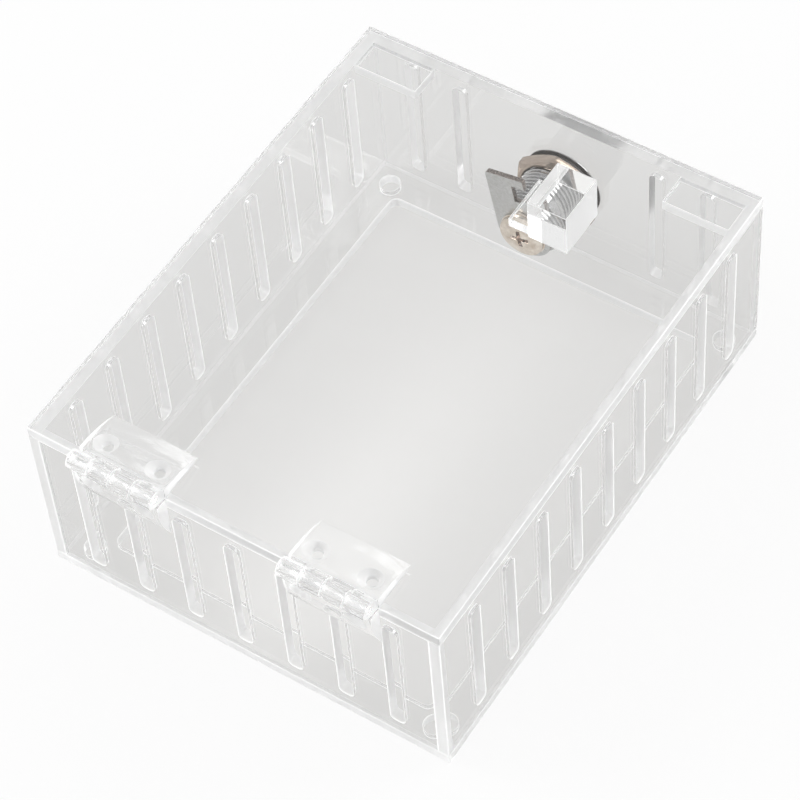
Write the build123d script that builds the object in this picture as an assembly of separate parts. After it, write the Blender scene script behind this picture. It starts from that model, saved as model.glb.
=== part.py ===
"""Clear acrylic guard box that locks over a wall thermostat.

A base plate with a large cut-out carries four slotted walls. The lid panel turns
on two small moulded hinges at one end. A cam lock in the other end wall turns a
hook over the tongue of a keeper that is glued under the lid.

Millimetres. X runs along the short side, Y from the hinge end to the lock end and
Z away from the wall that the box is fixed to. The origin is the centre of the
base plate's back face. At rest the lid is shut and the lock is just unlocked.
"""

import math
import os

from build123d import *

# Box of flat sheet
BOX_WIDTH = 116.5
BOX_LENGTH = 150.0
BOX_HEIGHT = 55.0
SHEET = 3.0

# Base plate
BASE_RIM = 11.25
CUTOUT_CORNER = 2.0
WALL_SCREW_INSET = 7.75
WALL_SCREW_HOLE_D = 5.5

# Slots in the walls
SLOT_WIDTH = 4.0
SLOT_CORNER = 1.4
SLOT_LAND = 4.5
SLOT_END_LAND = 8.0
SIDE_SLOT_PITCH = 15.0
END_SLOT_PITCH = 14.7
LOCK_FIELD = 22.0

# Corner stops under the lid at the lock end
STOP_LENGTH = 18.85
STOP_WIDTH = 9.3

# Hinges: the axis stands off by the same amount from the hinge wall and the lid
HINGE_INSET = 28.45
HINGE_LENGTH = 24.5
KNUCKLE_COUNT = 4
KNUCKLE_GAP = 0.3
BARREL_D = 5.0
AXIS_STAND_OFF = 3.2
LEAF_ROOT_GAP = 0.15
PIN_D = 2.2
PIN_CLEARANCE = 0.05
LEAF_REACH = 16.8
LEAF_ROOT = 3.4
LEAF_MIDDLE = 2.75
LEAF_EDGE = 0.3
LEAF_SCREW_REACH = 8.0
LEAF_SCREW_SPACING = 15.0
LEAF_SCREW_HOLE_D = 3.0
LEAF_SINK_FLOOR = 1.5

# Lock: depths are measured inwards from the outside of the lock wall
LOCK_X = 1.0
FLANGE_D = 22.2
FLANGE_THICKNESS = 2.2
FLANGE_LIP = 0.3
FLANGE_FACE_D = 17.4
HOUSING_D = 18.8
HOUSING_DEPTH = 18.85
WALL_HOLE_CLEARANCE = 0.2
NUT_ACROSS_FLATS = 21.5
NUT_THICKNESS = 4.0
THREAD_CLEARANCE = 0.05
PLUG_D = 12.4
PLUG_CLEARANCE = 0.05
PLUG_HEAD_D = 14.8
PLUG_HEAD_THICKNESS = 1.4
PLUG_FACE_RECESS = 0.2
TAIL_SIDE = 7.0
TAIL_CLEARANCE = 0.05
TAIL_SHORTFALL = 0.2

# Key path and wafers inside the plug
KEYWAY_WIDTH = 1.6
KEYWAY_HEIGHT = 6.4
WAFER_COUNT = 5
WAFER_PITCH = 2.0
FIRST_WAFER_DEPTH = 1.5
WAFER_THICKNESS = 0.8
WAFER_WIDTH = 4.0
WAFER_HEIGHT = 10.4
WAFER_CLEARANCE = 0.05
WAFER_WINDOW_WIDTH = 2.0
WAFER_WINDOW_HEIGHT = 5.6
WAFER_WINDOW_SHIFT = 0.4
WAFER_ARM_LENGTH = 1.4
WAFER_ARM_HEIGHT = 1.2
WAFER_ARM_RISE = 1.2
WAFER_TRAVEL = 1.0
WAFER_SPRING_D = 0.8
WAFER_SPRING_LENGTH = 4.3
HOUSING_GROOVE_WIDTH = 4.6
HOUSING_GROOVE_DEPTH = 1.5

# Turning stop behind the cam
STOP_WASHER_THICKNESS = 0.8
STOP_WASHER_D = 14.4
STOP_TAB_REACH = 8.8
STOP_TAB_ANGLE = 40.0
STOP_RIM_WIDTH = 1.8
STOP_RIM_GAP = 0.2
LOCK_SWEEP = 90.0
STOP_SPARE_ANGLE = 1.5

# Hook cam, drawn upright as it stands when locked
CAM_GAP = 0.15
CAM_THICKNESS = 1.5
CAM_WIDTH = 16.0
CAM_REACH = 19.5
HOOK_TIP = 3.4
CAM_CORNER = 1.0
TIP_CORNER = 0.4
NOTCH_CLEARANCE = 0.5
NOTCH_END_GAP = 1.2
REST_GAP = 0.3

# Cam screw and its washer
CAM_WASHER_D = 13.2
CAM_WASHER_THICKNESS = 0.6
SCREW_HEAD_D = 12.6
SCREW_HEAD_RIM = 1.1
SCREW_HEAD_CROWN = 0.8
SCREW_SHANK_D = 4.0
SCREW_LENGTH = 9.0
SCREW_CLEARANCE = 0.05
RECESS_WIDTH = 1.2
RECESS_SPAN = 6.0
RECESS_DEPTH = 1.5

# Keeper under the lid, placed from the lock's axis
TONGUE_START = 0.8
TONGUE_LENGTH = 5.7
TONGUE_RISE = 11.85
KEEPER_WIDTH = 11.5
KEEPER_LENGTH = 15.0
KEEPER_RISE = 11.0
KEEPER_PAST_CAM = 5.4

# Places that follow from the sizes above
WALL_HEIGHT = BOX_HEIGHT - 2 * SHEET
WALL_MID_Z = SHEET + WALL_HEIGHT / 2
LID_UNDERSIDE_Z = BOX_HEIGHT - SHEET
INNER_WIDTH = BOX_WIDTH - 2 * SHEET
INNER_LENGTH = BOX_LENGTH - 2 * SHEET
HINGE_X = BOX_WIDTH / 2 - HINGE_INSET
HINGE_Y = -BOX_LENGTH / 2 - AXIS_STAND_OFF
HINGE_Z = BOX_HEIGHT + AXIS_STAND_OFF
LEAF_START = AXIS_STAND_OFF + LEAF_ROOT_GAP
BOTH_SIDES = {"left": -1, "right": 1}

CAM_BACK_DEPTH = HOUSING_DEPTH + CAM_GAP + STOP_WASHER_THICKNESS
CAM_FRONT_DEPTH = CAM_BACK_DEPTH + CAM_THICKNESS
TONGUE_END = TONGUE_START + TONGUE_LENGTH
NOTCH_INNER_R = math.hypot(TONGUE_START, TONGUE_RISE) - NOTCH_CLEARANCE
NOTCH_OUTER_R = math.hypot(TONGUE_END, TONGUE_RISE + SHEET) + NOTCH_CLEARANCE
NOTCH_END = TONGUE_START - NOTCH_END_GAP

# The hook leans by this much at rest, so that its tip just lets the tongue pass
LOCKED_TIP_ANGLE = math.degrees(math.acos(HOOK_TIP / NOTCH_OUTER_R))
CLEAR_TIP_ANGLE = math.degrees(math.acos((TONGUE_START - REST_GAP) / NOTCH_OUTER_R))
REST_LEAN = CLEAR_TIP_ANGLE - LOCKED_TIP_ANGLE

# The lock's own plane: x along the wall, y up and z inwards along its axis
LOCK_PLANE = Plane(
    origin=(LOCK_X, BOX_LENGTH / 2, WALL_MID_Z), x_dir=(1, 0, 0), z_dir=(0, -1, 0)
)


def block(x_range, y_range, z_range):
    """Rectangular solid between three pairs of limits."""
    size = [high - low for low, high in (x_range, y_range, z_range)]
    centre = [(high + low) / 2 for low, high in (x_range, y_range, z_range)]
    return Pos(*centre) * Box(*size)


def disc(diameter, start, end):
    """Cylinder about the lock's axis between two depths, in the lock's plane."""
    return Pos(0, 0, (start + end) / 2) * Cylinder(diameter / 2, end - start)


def fixed_in_lock(shape):
    """Move a shape from the lock's plane to its place in the box."""
    return LOCK_PLANE.location * shape


def turning_in_lock(shape):
    """Lean a shape that turns with the key by the rest angle and place it."""
    return LOCK_PLANE.location * Rot(0, 0, REST_LEAN) * shape


def slot_places(panel_length, pitch):
    """Centres of the slots along a panel, as many as its end lands leave room for."""
    run = panel_length - 2 * SLOT_END_LAND - SLOT_WIDTH
    count = int(run / pitch) + 1
    return [(i - (count - 1) / 2) * pitch for i in range(count)]


def slotted_panel(panel_length, places):
    """Wall panel lying flat with upright slots, and its thickness from 0 up."""
    slot_height = WALL_HEIGHT - 2 * SLOT_LAND
    outline = Rectangle(panel_length, WALL_HEIGHT)
    slot = RectangleRounded(SLOT_WIDTH, slot_height, SLOT_CORNER)
    for place in places:
        outline -= Pos(place, 0) * slot
    return extrude(outline, SHEET)


def base_plate():
    """Back plate with the thermostat cut-out and four wall-screw holes."""
    plate = Rectangle(BOX_WIDTH, BOX_LENGTH)
    plate -= RectangleRounded(BOX_WIDTH - 2 * BASE_RIM, BOX_LENGTH - 2 * BASE_RIM, CUTOUT_CORNER)
    hole_x = BOX_WIDTH / 2 - WALL_SCREW_INSET
    hole_y = BOX_LENGTH / 2 - WALL_SCREW_INSET
    for place in GridLocations(2 * hole_x, 2 * hole_y, 2, 2):
        plate -= place * Circle(WALL_SCREW_HOLE_D / 2)
    return extrude(plate, SHEET)


def side_wall(side):
    """Long wall over the full length, on one side of the base plate."""
    panel = slotted_panel(BOX_LENGTH, slot_places(BOX_LENGTH, SIDE_SLOT_PITCH))
    inner_face = Plane(
        origin=(side * (BOX_WIDTH / 2 - SHEET), 0, WALL_MID_Z),
        x_dir=(0, side, 0),
        z_dir=(side, 0, 0),
    )
    return inner_face.location * panel


def hinge_wall():
    """Short wall at the hinge end, between the side walls."""
    panel = slotted_panel(INNER_WIDTH, slot_places(INNER_WIDTH, END_SLOT_PITCH))
    outer_face = Plane(
        origin=(0, -INNER_LENGTH / 2, WALL_MID_Z), x_dir=(1, 0, 0), z_dir=(0, -1, 0)
    )
    return outer_face.location * panel


def lock_wall():
    """Short wall at the lock end, with its hole and no slots beside the lock."""
    every_place = slot_places(INNER_WIDTH, END_SLOT_PITCH)
    kept = [place for place in every_place if abs(place - LOCK_X) > LOCK_FIELD]
    panel = slotted_panel(INNER_WIDTH, kept)
    outer_face = Plane(
        origin=(0, BOX_LENGTH / 2, WALL_MID_Z), x_dir=(1, 0, 0), z_dir=(0, -1, 0)
    )
    hole = disc(HOUSING_D + 2 * WALL_HOLE_CLEARANCE, -SHEET, 2 * SHEET)
    return outer_face.location * panel - fixed_in_lock(hole)


def corner_stop(side):
    """Strip glued into a corner under the lid at the lock end."""
    outer = side * INNER_WIDTH / 2
    inner = outer - side * STOP_LENGTH
    y_range = (INNER_LENGTH / 2 - STOP_WIDTH, INNER_LENGTH / 2)
    z_range = (LID_UNDERSIDE_Z - SHEET, LID_UNDERSIDE_Z)
    return block((min(outer, inner), max(outer, inner)), y_range, z_range)


def lid_panel():
    """Flat lid over the whole box."""
    half_width = BOX_WIDTH / 2
    half_length = BOX_LENGTH / 2
    return block((-half_width, half_width), (-half_length, half_length), (LID_UNDERSIDE_Z, BOX_HEIGHT))


def leaf_section():
    """Plate of a hinge leaf: reach from the pin along x, height above its face along y."""
    middle = ((LEAF_START + LEAF_REACH) / 2, LEAF_MIDDLE)
    outline = [
        Line((LEAF_START, 0), (LEAF_REACH, 0)),
        Line((LEAF_REACH, 0), (LEAF_REACH, LEAF_EDGE)),
        ThreePointArc((LEAF_REACH, LEAF_EDGE), middle, (LEAF_START, LEAF_ROOT)),
        Line((LEAF_START, LEAF_ROOT), (LEAF_START, 0)),
    ]
    return make_face(outline)


def barrel_tangent(point, upper):
    """Point where a line from a corner of the leaf meets the barrel's side."""
    reach = point[0]
    height = point[1] - AXIS_STAND_OFF
    turn = math.acos(BARREL_D / 2 / math.hypot(reach, height))
    angle = math.atan2(height, reach) + (turn if upper else -turn)
    return (BARREL_D / 2 * math.cos(angle), AXIS_STAND_OFF + BARREL_D / 2 * math.sin(angle))


def tab_section():
    """Barrel ring and the tab that joins it to the leaf's plate."""
    foot = (LEAF_START, 0)
    shoulder = (LEAF_START, LEAF_ROOT)
    centre = (0, AXIS_STAND_OFF)
    corners = (foot, shoulder, barrel_tangent(shoulder, True), centre, barrel_tangent(foot, False))
    tab = make_face(Polyline(*corners, close=True))
    ring = Pos(*centre) * Circle(BARREL_D / 2)
    bore = Pos(*centre) * Circle(PIN_D / 2 + PIN_CLEARANCE)
    return tab + ring - bore


def leaf_screw_hole():
    """Screw hole with its countersink open at the leaf's crowned side, along z."""
    hole_r = LEAF_SCREW_HOLE_D / 2
    sink_depth = LEAF_ROOT
    hole = Cylinder(hole_r, 4 * LEAF_ROOT)
    sink = Pos(0, 0, LEAF_SINK_FLOOR + sink_depth / 2) * Cone(hole_r, hole_r + sink_depth, sink_depth)
    return hole + sink


def hinge_leaf(first_knuckle):
    """Leaf with every second knuckle, its length along z and centred on it."""
    leaf = Pos(0, 0, -HINGE_LENGTH / 2) * extrude(leaf_section(), HINGE_LENGTH)
    pitch = HINGE_LENGTH / KNUCKLE_COUNT
    for knuckle in range(first_knuckle, KNUCKLE_COUNT, 2):
        low = -HINGE_LENGTH / 2 + knuckle * pitch + KNUCKLE_GAP / 2
        leaf += Pos(0, 0, low) * extrude(tab_section(), pitch - KNUCKLE_GAP)
    for place in (-LEAF_SCREW_SPACING / 2, LEAF_SCREW_SPACING / 2):
        leaf -= Pos(LEAF_SCREW_REACH, 0, place) * Rot(-90, 0, 0) * leaf_screw_hole()
    return leaf


def lid_leaf(side):
    """Leaf on top of the lid, with the second and fourth knuckles."""
    plane = Plane(origin=(side * HINGE_X, HINGE_Y, BOX_HEIGHT), x_dir=(0, 1, 0), z_dir=(1, 0, 0))
    return plane.location * hinge_leaf(1)


def body_leaf(side):
    """Leaf down the outside of the hinge wall, with the first and third knuckles."""
    plane = Plane(
        origin=(side * HINGE_X, -BOX_LENGTH / 2, HINGE_Z), x_dir=(0, 0, -1), z_dir=(-1, 0, 0)
    )
    return plane.location * mirror(hinge_leaf(0), Plane.XY)


def hinge_pin(side):
    """Plain pin through all the knuckles of one hinge."""
    pin = Cylinder(PIN_D / 2, HINGE_LENGTH, rotation=(0, 90, 0))
    return Pos(side * HINGE_X, HINGE_Y, HINGE_Z) * pin


def sector(radius, start_angle, sweep):
    """Flat pie slice about the lock's axis, under half a turn."""
    start = math.radians(start_angle)
    middle = math.radians(start_angle + sweep / 2)
    end = math.radians(start_angle + sweep)
    points = [(radius * math.cos(a), radius * math.sin(a)) for a in (start, middle, end)]
    arc = ThreePointArc(*points)
    return make_face([Line((0, 0), points[0]), arc, Line(points[2], (0, 0))])


def lock_housing():
    """Threaded barrel with its outside flange, bore, wafer grooves and end rim."""
    shell = disc(HOUSING_D, -FLANGE_THICKNESS, HOUSING_DEPTH)
    taper_height = FLANGE_THICKNESS - FLANGE_LIP
    taper = Pos(0, 0, -FLANGE_LIP - taper_height / 2) * Cone(
        FLANGE_FACE_D / 2, FLANGE_D / 2, taper_height
    )
    shell += disc(FLANGE_D, -FLANGE_LIP, 0)
    shell += taper
    shell += stop_rim()
    shell -= disc(PLUG_D + 2 * PLUG_CLEARANCE, -2 * FLANGE_THICKNESS, 2 * HOUSING_DEPTH)
    counterbore_depth = PLUG_FACE_RECESS + PLUG_HEAD_THICKNESS + PLUG_CLEARANCE - FLANGE_THICKNESS
    shell -= disc(PLUG_HEAD_D + 2 * PLUG_CLEARANCE, -2 * FLANGE_THICKNESS, counterbore_depth)
    groove_reach = PLUG_D / 2 + HOUSING_GROOVE_DEPTH
    groove_start = FIRST_WAFER_DEPTH - WAFER_THICKNESS
    groove_end = FIRST_WAFER_DEPTH + WAFER_COUNT * WAFER_PITCH
    half_groove = HOUSING_GROOVE_WIDTH / 2
    shell -= block((-half_groove, half_groove), (-groove_reach, groove_reach), (groove_start, groove_end))
    return fixed_in_lock(shell)


def stop_rim():
    """Raised part ring on the housing's end, open where the washer's tab swings."""
    opening = LOCK_SWEEP + STOP_TAB_ANGLE + 2 * STOP_SPARE_ANGLE
    end_depth = CAM_BACK_DEPTH - STOP_RIM_GAP
    rim = disc(HOUSING_D, HOUSING_DEPTH, end_depth)
    rim -= disc(HOUSING_D - 2 * STOP_RIM_WIDTH, 0, 2 * HOUSING_DEPTH)
    first_angle = 90 - STOP_TAB_ANGLE / 2 - STOP_SPARE_ANGLE
    gap = Pos(0, 0, HOUSING_DEPTH) * extrude(sector(HOUSING_D, first_angle, opening), HOUSING_DEPTH)
    return rim - gap


def stop_washer():
    """Washer on the plug's square tail, with the tab that meets the end rim."""
    start = HOUSING_DEPTH + CAM_GAP
    body = disc(STOP_WASHER_D, start, start + STOP_WASHER_THICKNESS)
    tab = sector(STOP_TAB_REACH, 90 - STOP_TAB_ANGLE / 2, STOP_TAB_ANGLE)
    body += Pos(0, 0, start) * extrude(tab, STOP_WASHER_THICKNESS)
    return turning_in_lock(body - tail_hole())


def tail_hole():
    """Square hole that fits over the plug's tail."""
    side = TAIL_SIDE + 2 * TAIL_CLEARANCE
    return Pos(0, 0, HOUSING_DEPTH) * Box(side, side, HOUSING_DEPTH)


def lock_nut():
    """Hexagon nut that clamps the housing to the wall, one corner up, both faces crowned."""
    outline = RegularPolygon(NUT_ACROSS_FLATS / 2, 6, major_radius=False, rotation=30)
    nut = Pos(0, 0, SHEET) * extrude(outline, NUT_THICKNESS)
    flat_r = NUT_ACROSS_FLATS / 2
    crown_r = flat_r + math.sqrt(3) * NUT_THICKNESS
    inner_crown = Cone(crown_r, flat_r, NUT_THICKNESS)
    outer_crown = Cone(flat_r, crown_r, NUT_THICKNESS)
    middle = Pos(0, 0, SHEET + NUT_THICKNESS / 2)
    nut &= middle * inner_crown
    nut &= middle * outer_crown
    nut -= disc(HOUSING_D + 2 * THREAD_CLEARANCE, 0, 2 * HOUSING_DEPTH)
    return fixed_in_lock(nut)


def wafer_depths():
    """Depth of each wafer's outer face."""
    return [FIRST_WAFER_DEPTH + i * WAFER_PITCH for i in range(WAFER_COUNT)]


def lock_plug():
    """Turning core: head, barrel, square tail, key path, wafer slots, screw hole."""
    face_depth = PLUG_FACE_RECESS - FLANGE_THICKNESS
    plug = disc(PLUG_D, face_depth, HOUSING_DEPTH)
    plug += disc(PLUG_HEAD_D, face_depth, face_depth + PLUG_HEAD_THICKNESS)
    tail_end = CAM_FRONT_DEPTH - TAIL_SHORTFALL
    half_tail = TAIL_SIDE / 2
    plug += block((-half_tail, half_tail), (-half_tail, half_tail), (HOUSING_DEPTH, tail_end))
    key_end = FIRST_WAFER_DEPTH + WAFER_COUNT * WAFER_PITCH
    half_key = (KEYWAY_WIDTH / 2, KEYWAY_HEIGHT / 2)
    plug -= block((-half_key[0], half_key[0]), (-half_key[1], half_key[1]), (2 * face_depth, key_end))
    for depth in wafer_depths():
        z_range = (depth - WAFER_CLEARANCE, depth + WAFER_THICKNESS + WAFER_CLEARANCE)
        half_width = WAFER_WIDTH / 2 + WAFER_CLEARANCE
        plug -= block((-half_width, half_width), (-PLUG_D, PLUG_D), z_range)
        arm_end = WAFER_WIDTH / 2 + WAFER_ARM_LENGTH + WAFER_CLEARANCE
        arm_top = WAFER_ARM_RISE + WAFER_ARM_HEIGHT + WAFER_TRAVEL
        spring_foot = WAFER_ARM_RISE - WAFER_SPRING_LENGTH
        plug -= block((0, arm_end), (spring_foot, arm_top), z_range)
    screw_hole_d = SCREW_SHANK_D + 2 * SCREW_CLEARANCE
    hole_end = CAM_FRONT_DEPTH + CAM_WASHER_THICKNESS - SCREW_LENGTH - SCREW_CLEARANCE
    plug -= disc(screw_hole_d, hole_end, 2 * HOUSING_DEPTH)
    return turning_in_lock(plug)


def wafer(index, depth):
    """Wafer plate with its key window and the arm that its spring pushes on."""
    half_width = WAFER_WIDTH / 2
    plate = Rectangle(WAFER_WIDTH, WAFER_HEIGHT)
    arm = Rectangle(WAFER_ARM_LENGTH, WAFER_ARM_HEIGHT)
    plate += Pos(half_width + WAFER_ARM_LENGTH / 2, WAFER_ARM_RISE + WAFER_ARM_HEIGHT / 2) * arm
    shift = WAFER_WINDOW_SHIFT * (-1) ** index
    plate -= Pos(0, shift) * Rectangle(WAFER_WINDOW_WIDTH, WAFER_WINDOW_HEIGHT)
    return Pos(0, 0, depth) * extrude(plate, WAFER_THICKNESS)


def wafer_tumblers():
    """All the wafers, drawn back inside the plug as a key holds them."""
    plates = [turning_in_lock(wafer(i, depth)) for i, depth in enumerate(wafer_depths())]
    return Compound(plates)


def wafer_springs():
    """One small spring under each wafer's arm, as a plain rod."""
    across = WAFER_WIDTH / 2 + WAFER_ARM_LENGTH / 2
    spring = Cylinder(WAFER_SPRING_D / 2, WAFER_SPRING_LENGTH, rotation=(90, 0, 0))
    middle = WAFER_ARM_RISE - WAFER_SPRING_LENGTH / 2
    places = [Pos(across, middle, depth + WAFER_THICKNESS / 2) for depth in wafer_depths()]
    return Compound([turning_in_lock(place * spring) for place in places])


def on_circle(radius, across):
    """Point of a circle about the lock's axis, above the axis at a given x."""
    return (across, math.sqrt(radius**2 - across**2))


def arc_about_axis(radius, first_across, last_across):
    """Arc about the lock's axis between two x positions."""
    first = on_circle(radius, first_across)
    last = on_circle(radius, last_across)
    turn = (math.atan2(first[1], first[0]) + math.atan2(last[1], last[0])) / 2
    middle = (radius * math.cos(turn), radius * math.sin(turn))
    return ThreePointArc(first, middle, last)


def cam():
    """Hook cam whose notch takes the keeper's tongue from the side."""
    half = CAM_WIDTH / 2
    tip = on_circle(NOTCH_OUTER_R, HOOK_TIP)
    notch_top = on_circle(NOTCH_OUTER_R, NOTCH_END)
    notch_foot = on_circle(NOTCH_INNER_R, NOTCH_END)
    shoulder = on_circle(NOTCH_INNER_R, half)
    outline = [
        Line((-half, 0), (-half, CAM_REACH)),
        Line((-half, CAM_REACH), (HOOK_TIP, CAM_REACH)),
        Line((HOOK_TIP, CAM_REACH), tip),
        arc_about_axis(NOTCH_OUTER_R, HOOK_TIP, NOTCH_END),
        Line(notch_top, notch_foot),
        arc_about_axis(NOTCH_INNER_R, NOTCH_END, half),
        Line(shoulder, (half, 0)),
        ThreePointArc((half, 0), (0, -half), (-half, 0)),
    ]
    face = make_face(outline)
    top_corners = face.vertices().filter_by(lambda v: v.Y > CAM_REACH - TIP_CORNER).sort_by(Axis.X)
    face = fillet(top_corners[0], CAM_CORNER)
    top_corners = face.vertices().filter_by(lambda v: v.Y > CAM_REACH - TIP_CORNER).sort_by(Axis.X)
    face = fillet(top_corners[-1], TIP_CORNER)
    plate = Pos(0, 0, CAM_BACK_DEPTH) * extrude(face, CAM_THICKNESS)
    return turning_in_lock(plate - tail_hole())


def cam_washer():
    """Flat washer between the cam and its screw."""
    ring = disc(CAM_WASHER_D, CAM_FRONT_DEPTH, CAM_FRONT_DEPTH + CAM_WASHER_THICKNESS)
    ring -= disc(SCREW_SHANK_D + 2 * SCREW_CLEARANCE, 0, 2 * CAM_FRONT_DEPTH)
    return turning_in_lock(ring)


def cam_screw():
    """Low crowned cross-head screw that holds the cam on the plug."""
    seat = CAM_FRONT_DEPTH + CAM_WASHER_THICKNESS
    half = SCREW_HEAD_D / 2
    rim = seat + SCREW_HEAD_RIM
    top = rim + SCREW_HEAD_CROWN
    dome_r = (half**2 + SCREW_HEAD_CROWN**2) / (2 * SCREW_HEAD_CROWN)
    middle_across = half / 2
    middle_height = top - dome_r + math.sqrt(dome_r**2 - middle_across**2)
    profile = [
        Line((0, seat), (half, seat)),
        Line((half, seat), (half, rim)),
        ThreePointArc((half, rim), (middle_across, middle_height), (0, top)),
        Line((0, top), (0, seat)),
    ]
    head = revolve(Plane.XZ.location * make_face(profile), Axis.Z)
    shank = disc(SCREW_SHANK_D, seat - SCREW_LENGTH, seat)
    recess = Box(RECESS_SPAN, RECESS_WIDTH, 2 * RECESS_DEPTH)
    recess += Box(RECESS_WIDTH, RECESS_SPAN, 2 * RECESS_DEPTH)
    return turning_in_lock(head + shank - Pos(0, 0, top) * recess)


def keeper_y_range():
    """Stretch of the keeper along the box, across the cam's plane."""
    end = BOX_LENGTH / 2 - CAM_BACK_DEPTH + KEEPER_PAST_CAM
    return (end - KEEPER_LENGTH, end)


def keeper_block():
    """Thick block glued under the lid beside the hook."""
    start = LOCK_X + TONGUE_END
    z_range = (WALL_MID_Z + KEEPER_RISE, LID_UNDERSIDE_Z)
    return block((start, start + KEEPER_WIDTH), keeper_y_range(), z_range)


def keeper_tongue():
    """Piece of sheet glued to the block's side, which the hook closes over."""
    x_range = (LOCK_X + TONGUE_START, LOCK_X + TONGUE_END)
    z_range = (WALL_MID_Z + TONGUE_RISE, WALL_MID_Z + TONGUE_RISE + SHEET)
    return block(x_range, keeper_y_range(), z_range)


def all_pieces():
    """Every separate piece of the box, by name."""
    pieces = {
        "base_plate": base_plate(),
        "hinge_wall": hinge_wall(),
        "lock_wall": lock_wall(),
        "lid_panel": lid_panel(),
        "keeper_block": keeper_block(),
        "keeper_tongue": keeper_tongue(),
        "lock_housing": lock_housing(),
        "lock_nut": lock_nut(),
        "lock_plug": lock_plug(),
        "wafer_tumblers": wafer_tumblers(),
        "wafer_springs": wafer_springs(),
        "stop_washer": stop_washer(),
        "cam": cam(),
        "cam_washer": cam_washer(),
        "cam_screw": cam_screw(),
    }
    for name, side in BOTH_SIDES.items():
        pieces[f"side_wall_{name}"] = side_wall(side)
        pieces[f"corner_stop_{name}"] = corner_stop(side)
        pieces[f"hinge_{name}_body_leaf"] = body_leaf(side)
        pieces[f"hinge_{name}_lid_leaf"] = lid_leaf(side)
        pieces[f"hinge_{name}_pin"] = hinge_pin(side)
    return pieces


os.makedirs("parts", exist_ok=True)
for node, shape in all_pieces().items():
    export_step(shape, f"parts/{node}.step")
print(f"hook leans {REST_LEAN:.2f} degrees at rest")
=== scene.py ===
"""Looks of a clear acrylic guard box that locks over a wall thermostat.

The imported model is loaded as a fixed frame. Sheet panels, moulded hinges and the
cam lock are modelled again in detail on top of it, and the pieces hidden inside
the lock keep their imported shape. Sizes are in millimetres unless a comment or a
docstring says otherwise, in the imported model's own axes.
"""

import logging
import math
from contextlib import contextmanager
from dataclasses import dataclass
from enum import Enum
from typing import Callable, Iterator, Sequence

import bmesh
import bpy
from mathutils import Matrix, Vector


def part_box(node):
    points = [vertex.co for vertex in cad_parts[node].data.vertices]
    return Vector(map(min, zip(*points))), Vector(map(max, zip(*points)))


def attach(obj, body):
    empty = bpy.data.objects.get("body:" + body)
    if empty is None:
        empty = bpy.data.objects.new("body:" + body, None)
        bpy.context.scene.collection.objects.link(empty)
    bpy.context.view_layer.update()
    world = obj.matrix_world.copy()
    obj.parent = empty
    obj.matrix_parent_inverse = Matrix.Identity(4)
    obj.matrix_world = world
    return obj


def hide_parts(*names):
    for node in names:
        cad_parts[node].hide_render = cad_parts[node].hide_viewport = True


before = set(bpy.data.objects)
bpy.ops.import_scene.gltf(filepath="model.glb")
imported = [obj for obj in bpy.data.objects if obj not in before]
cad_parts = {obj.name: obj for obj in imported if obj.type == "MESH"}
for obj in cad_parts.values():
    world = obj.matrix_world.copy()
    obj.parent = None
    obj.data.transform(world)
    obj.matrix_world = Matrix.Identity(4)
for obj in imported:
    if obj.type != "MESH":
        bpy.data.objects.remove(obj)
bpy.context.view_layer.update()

LOG = logging.getLogger("lock_box")

Piece = bpy.types.Object
Material = bpy.types.Material
Node = bpy.types.Node
Socket = bpy.types.NodeSocket
Point = tuple[float, float, float]
Flat = tuple[float, float]
Colour = tuple[float, float, float, float]
EdgeTest = Callable[[bmesh.types.BMEdge], bool]
FaceTest = Callable[[Vector, Vector], bool]

MM = 0.001
WELD = 1e-6  # points closer than this are merged, in metres
BOND = 0.03  # how far glued pieces overlap
EASE_STEPS = 2

# Shares of a unit normal along an axis, for a face that looks along it, a face that
# runs along it, and the flat of a sheet without its eased corners.
FACING = 0.9
ACROSS = 0.3
FLAT = 0.97


class Body(Enum):
    """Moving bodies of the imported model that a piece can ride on."""

    BOX = "box"
    LID = "lid"
    LOCK_CORE = "lock_core"


class Along(Enum):
    """Directions of the box's own axes."""

    X = (1.0, 0.0, 0.0)
    Y = (0.0, 1.0, 0.0)
    Z = (0.0, 0.0, 1.0)

    def index(self) -> int:
        """Place of the axis in a point."""
        return self.value.index(1.0)


class Combining(Enum):
    """Ways to combine two solids."""

    ADD = "UNION"
    TAKE = "DIFFERENCE"
    SHARE = "INTERSECT"


ROD_TURNS = {Along.X: (0, math.pi / 2, 0), Along.Y: (math.pi / 2, 0, 0), Along.Z: (0, 0, 0)}


def runs_along(axis: Along) -> EdgeTest:
    """Make the test of whether an edge runs along an axis.

    Args:
        axis: The axis.

    Returns:
        The test.
    """

    def test(edge: bmesh.types.BMEdge) -> bool:
        """Whether an edge runs along the axis."""
        run = edge.verts[1].co - edge.verts[0].co
        return abs(run[axis.index()]) > FACING * run.length

    return test


# Workbench


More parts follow.
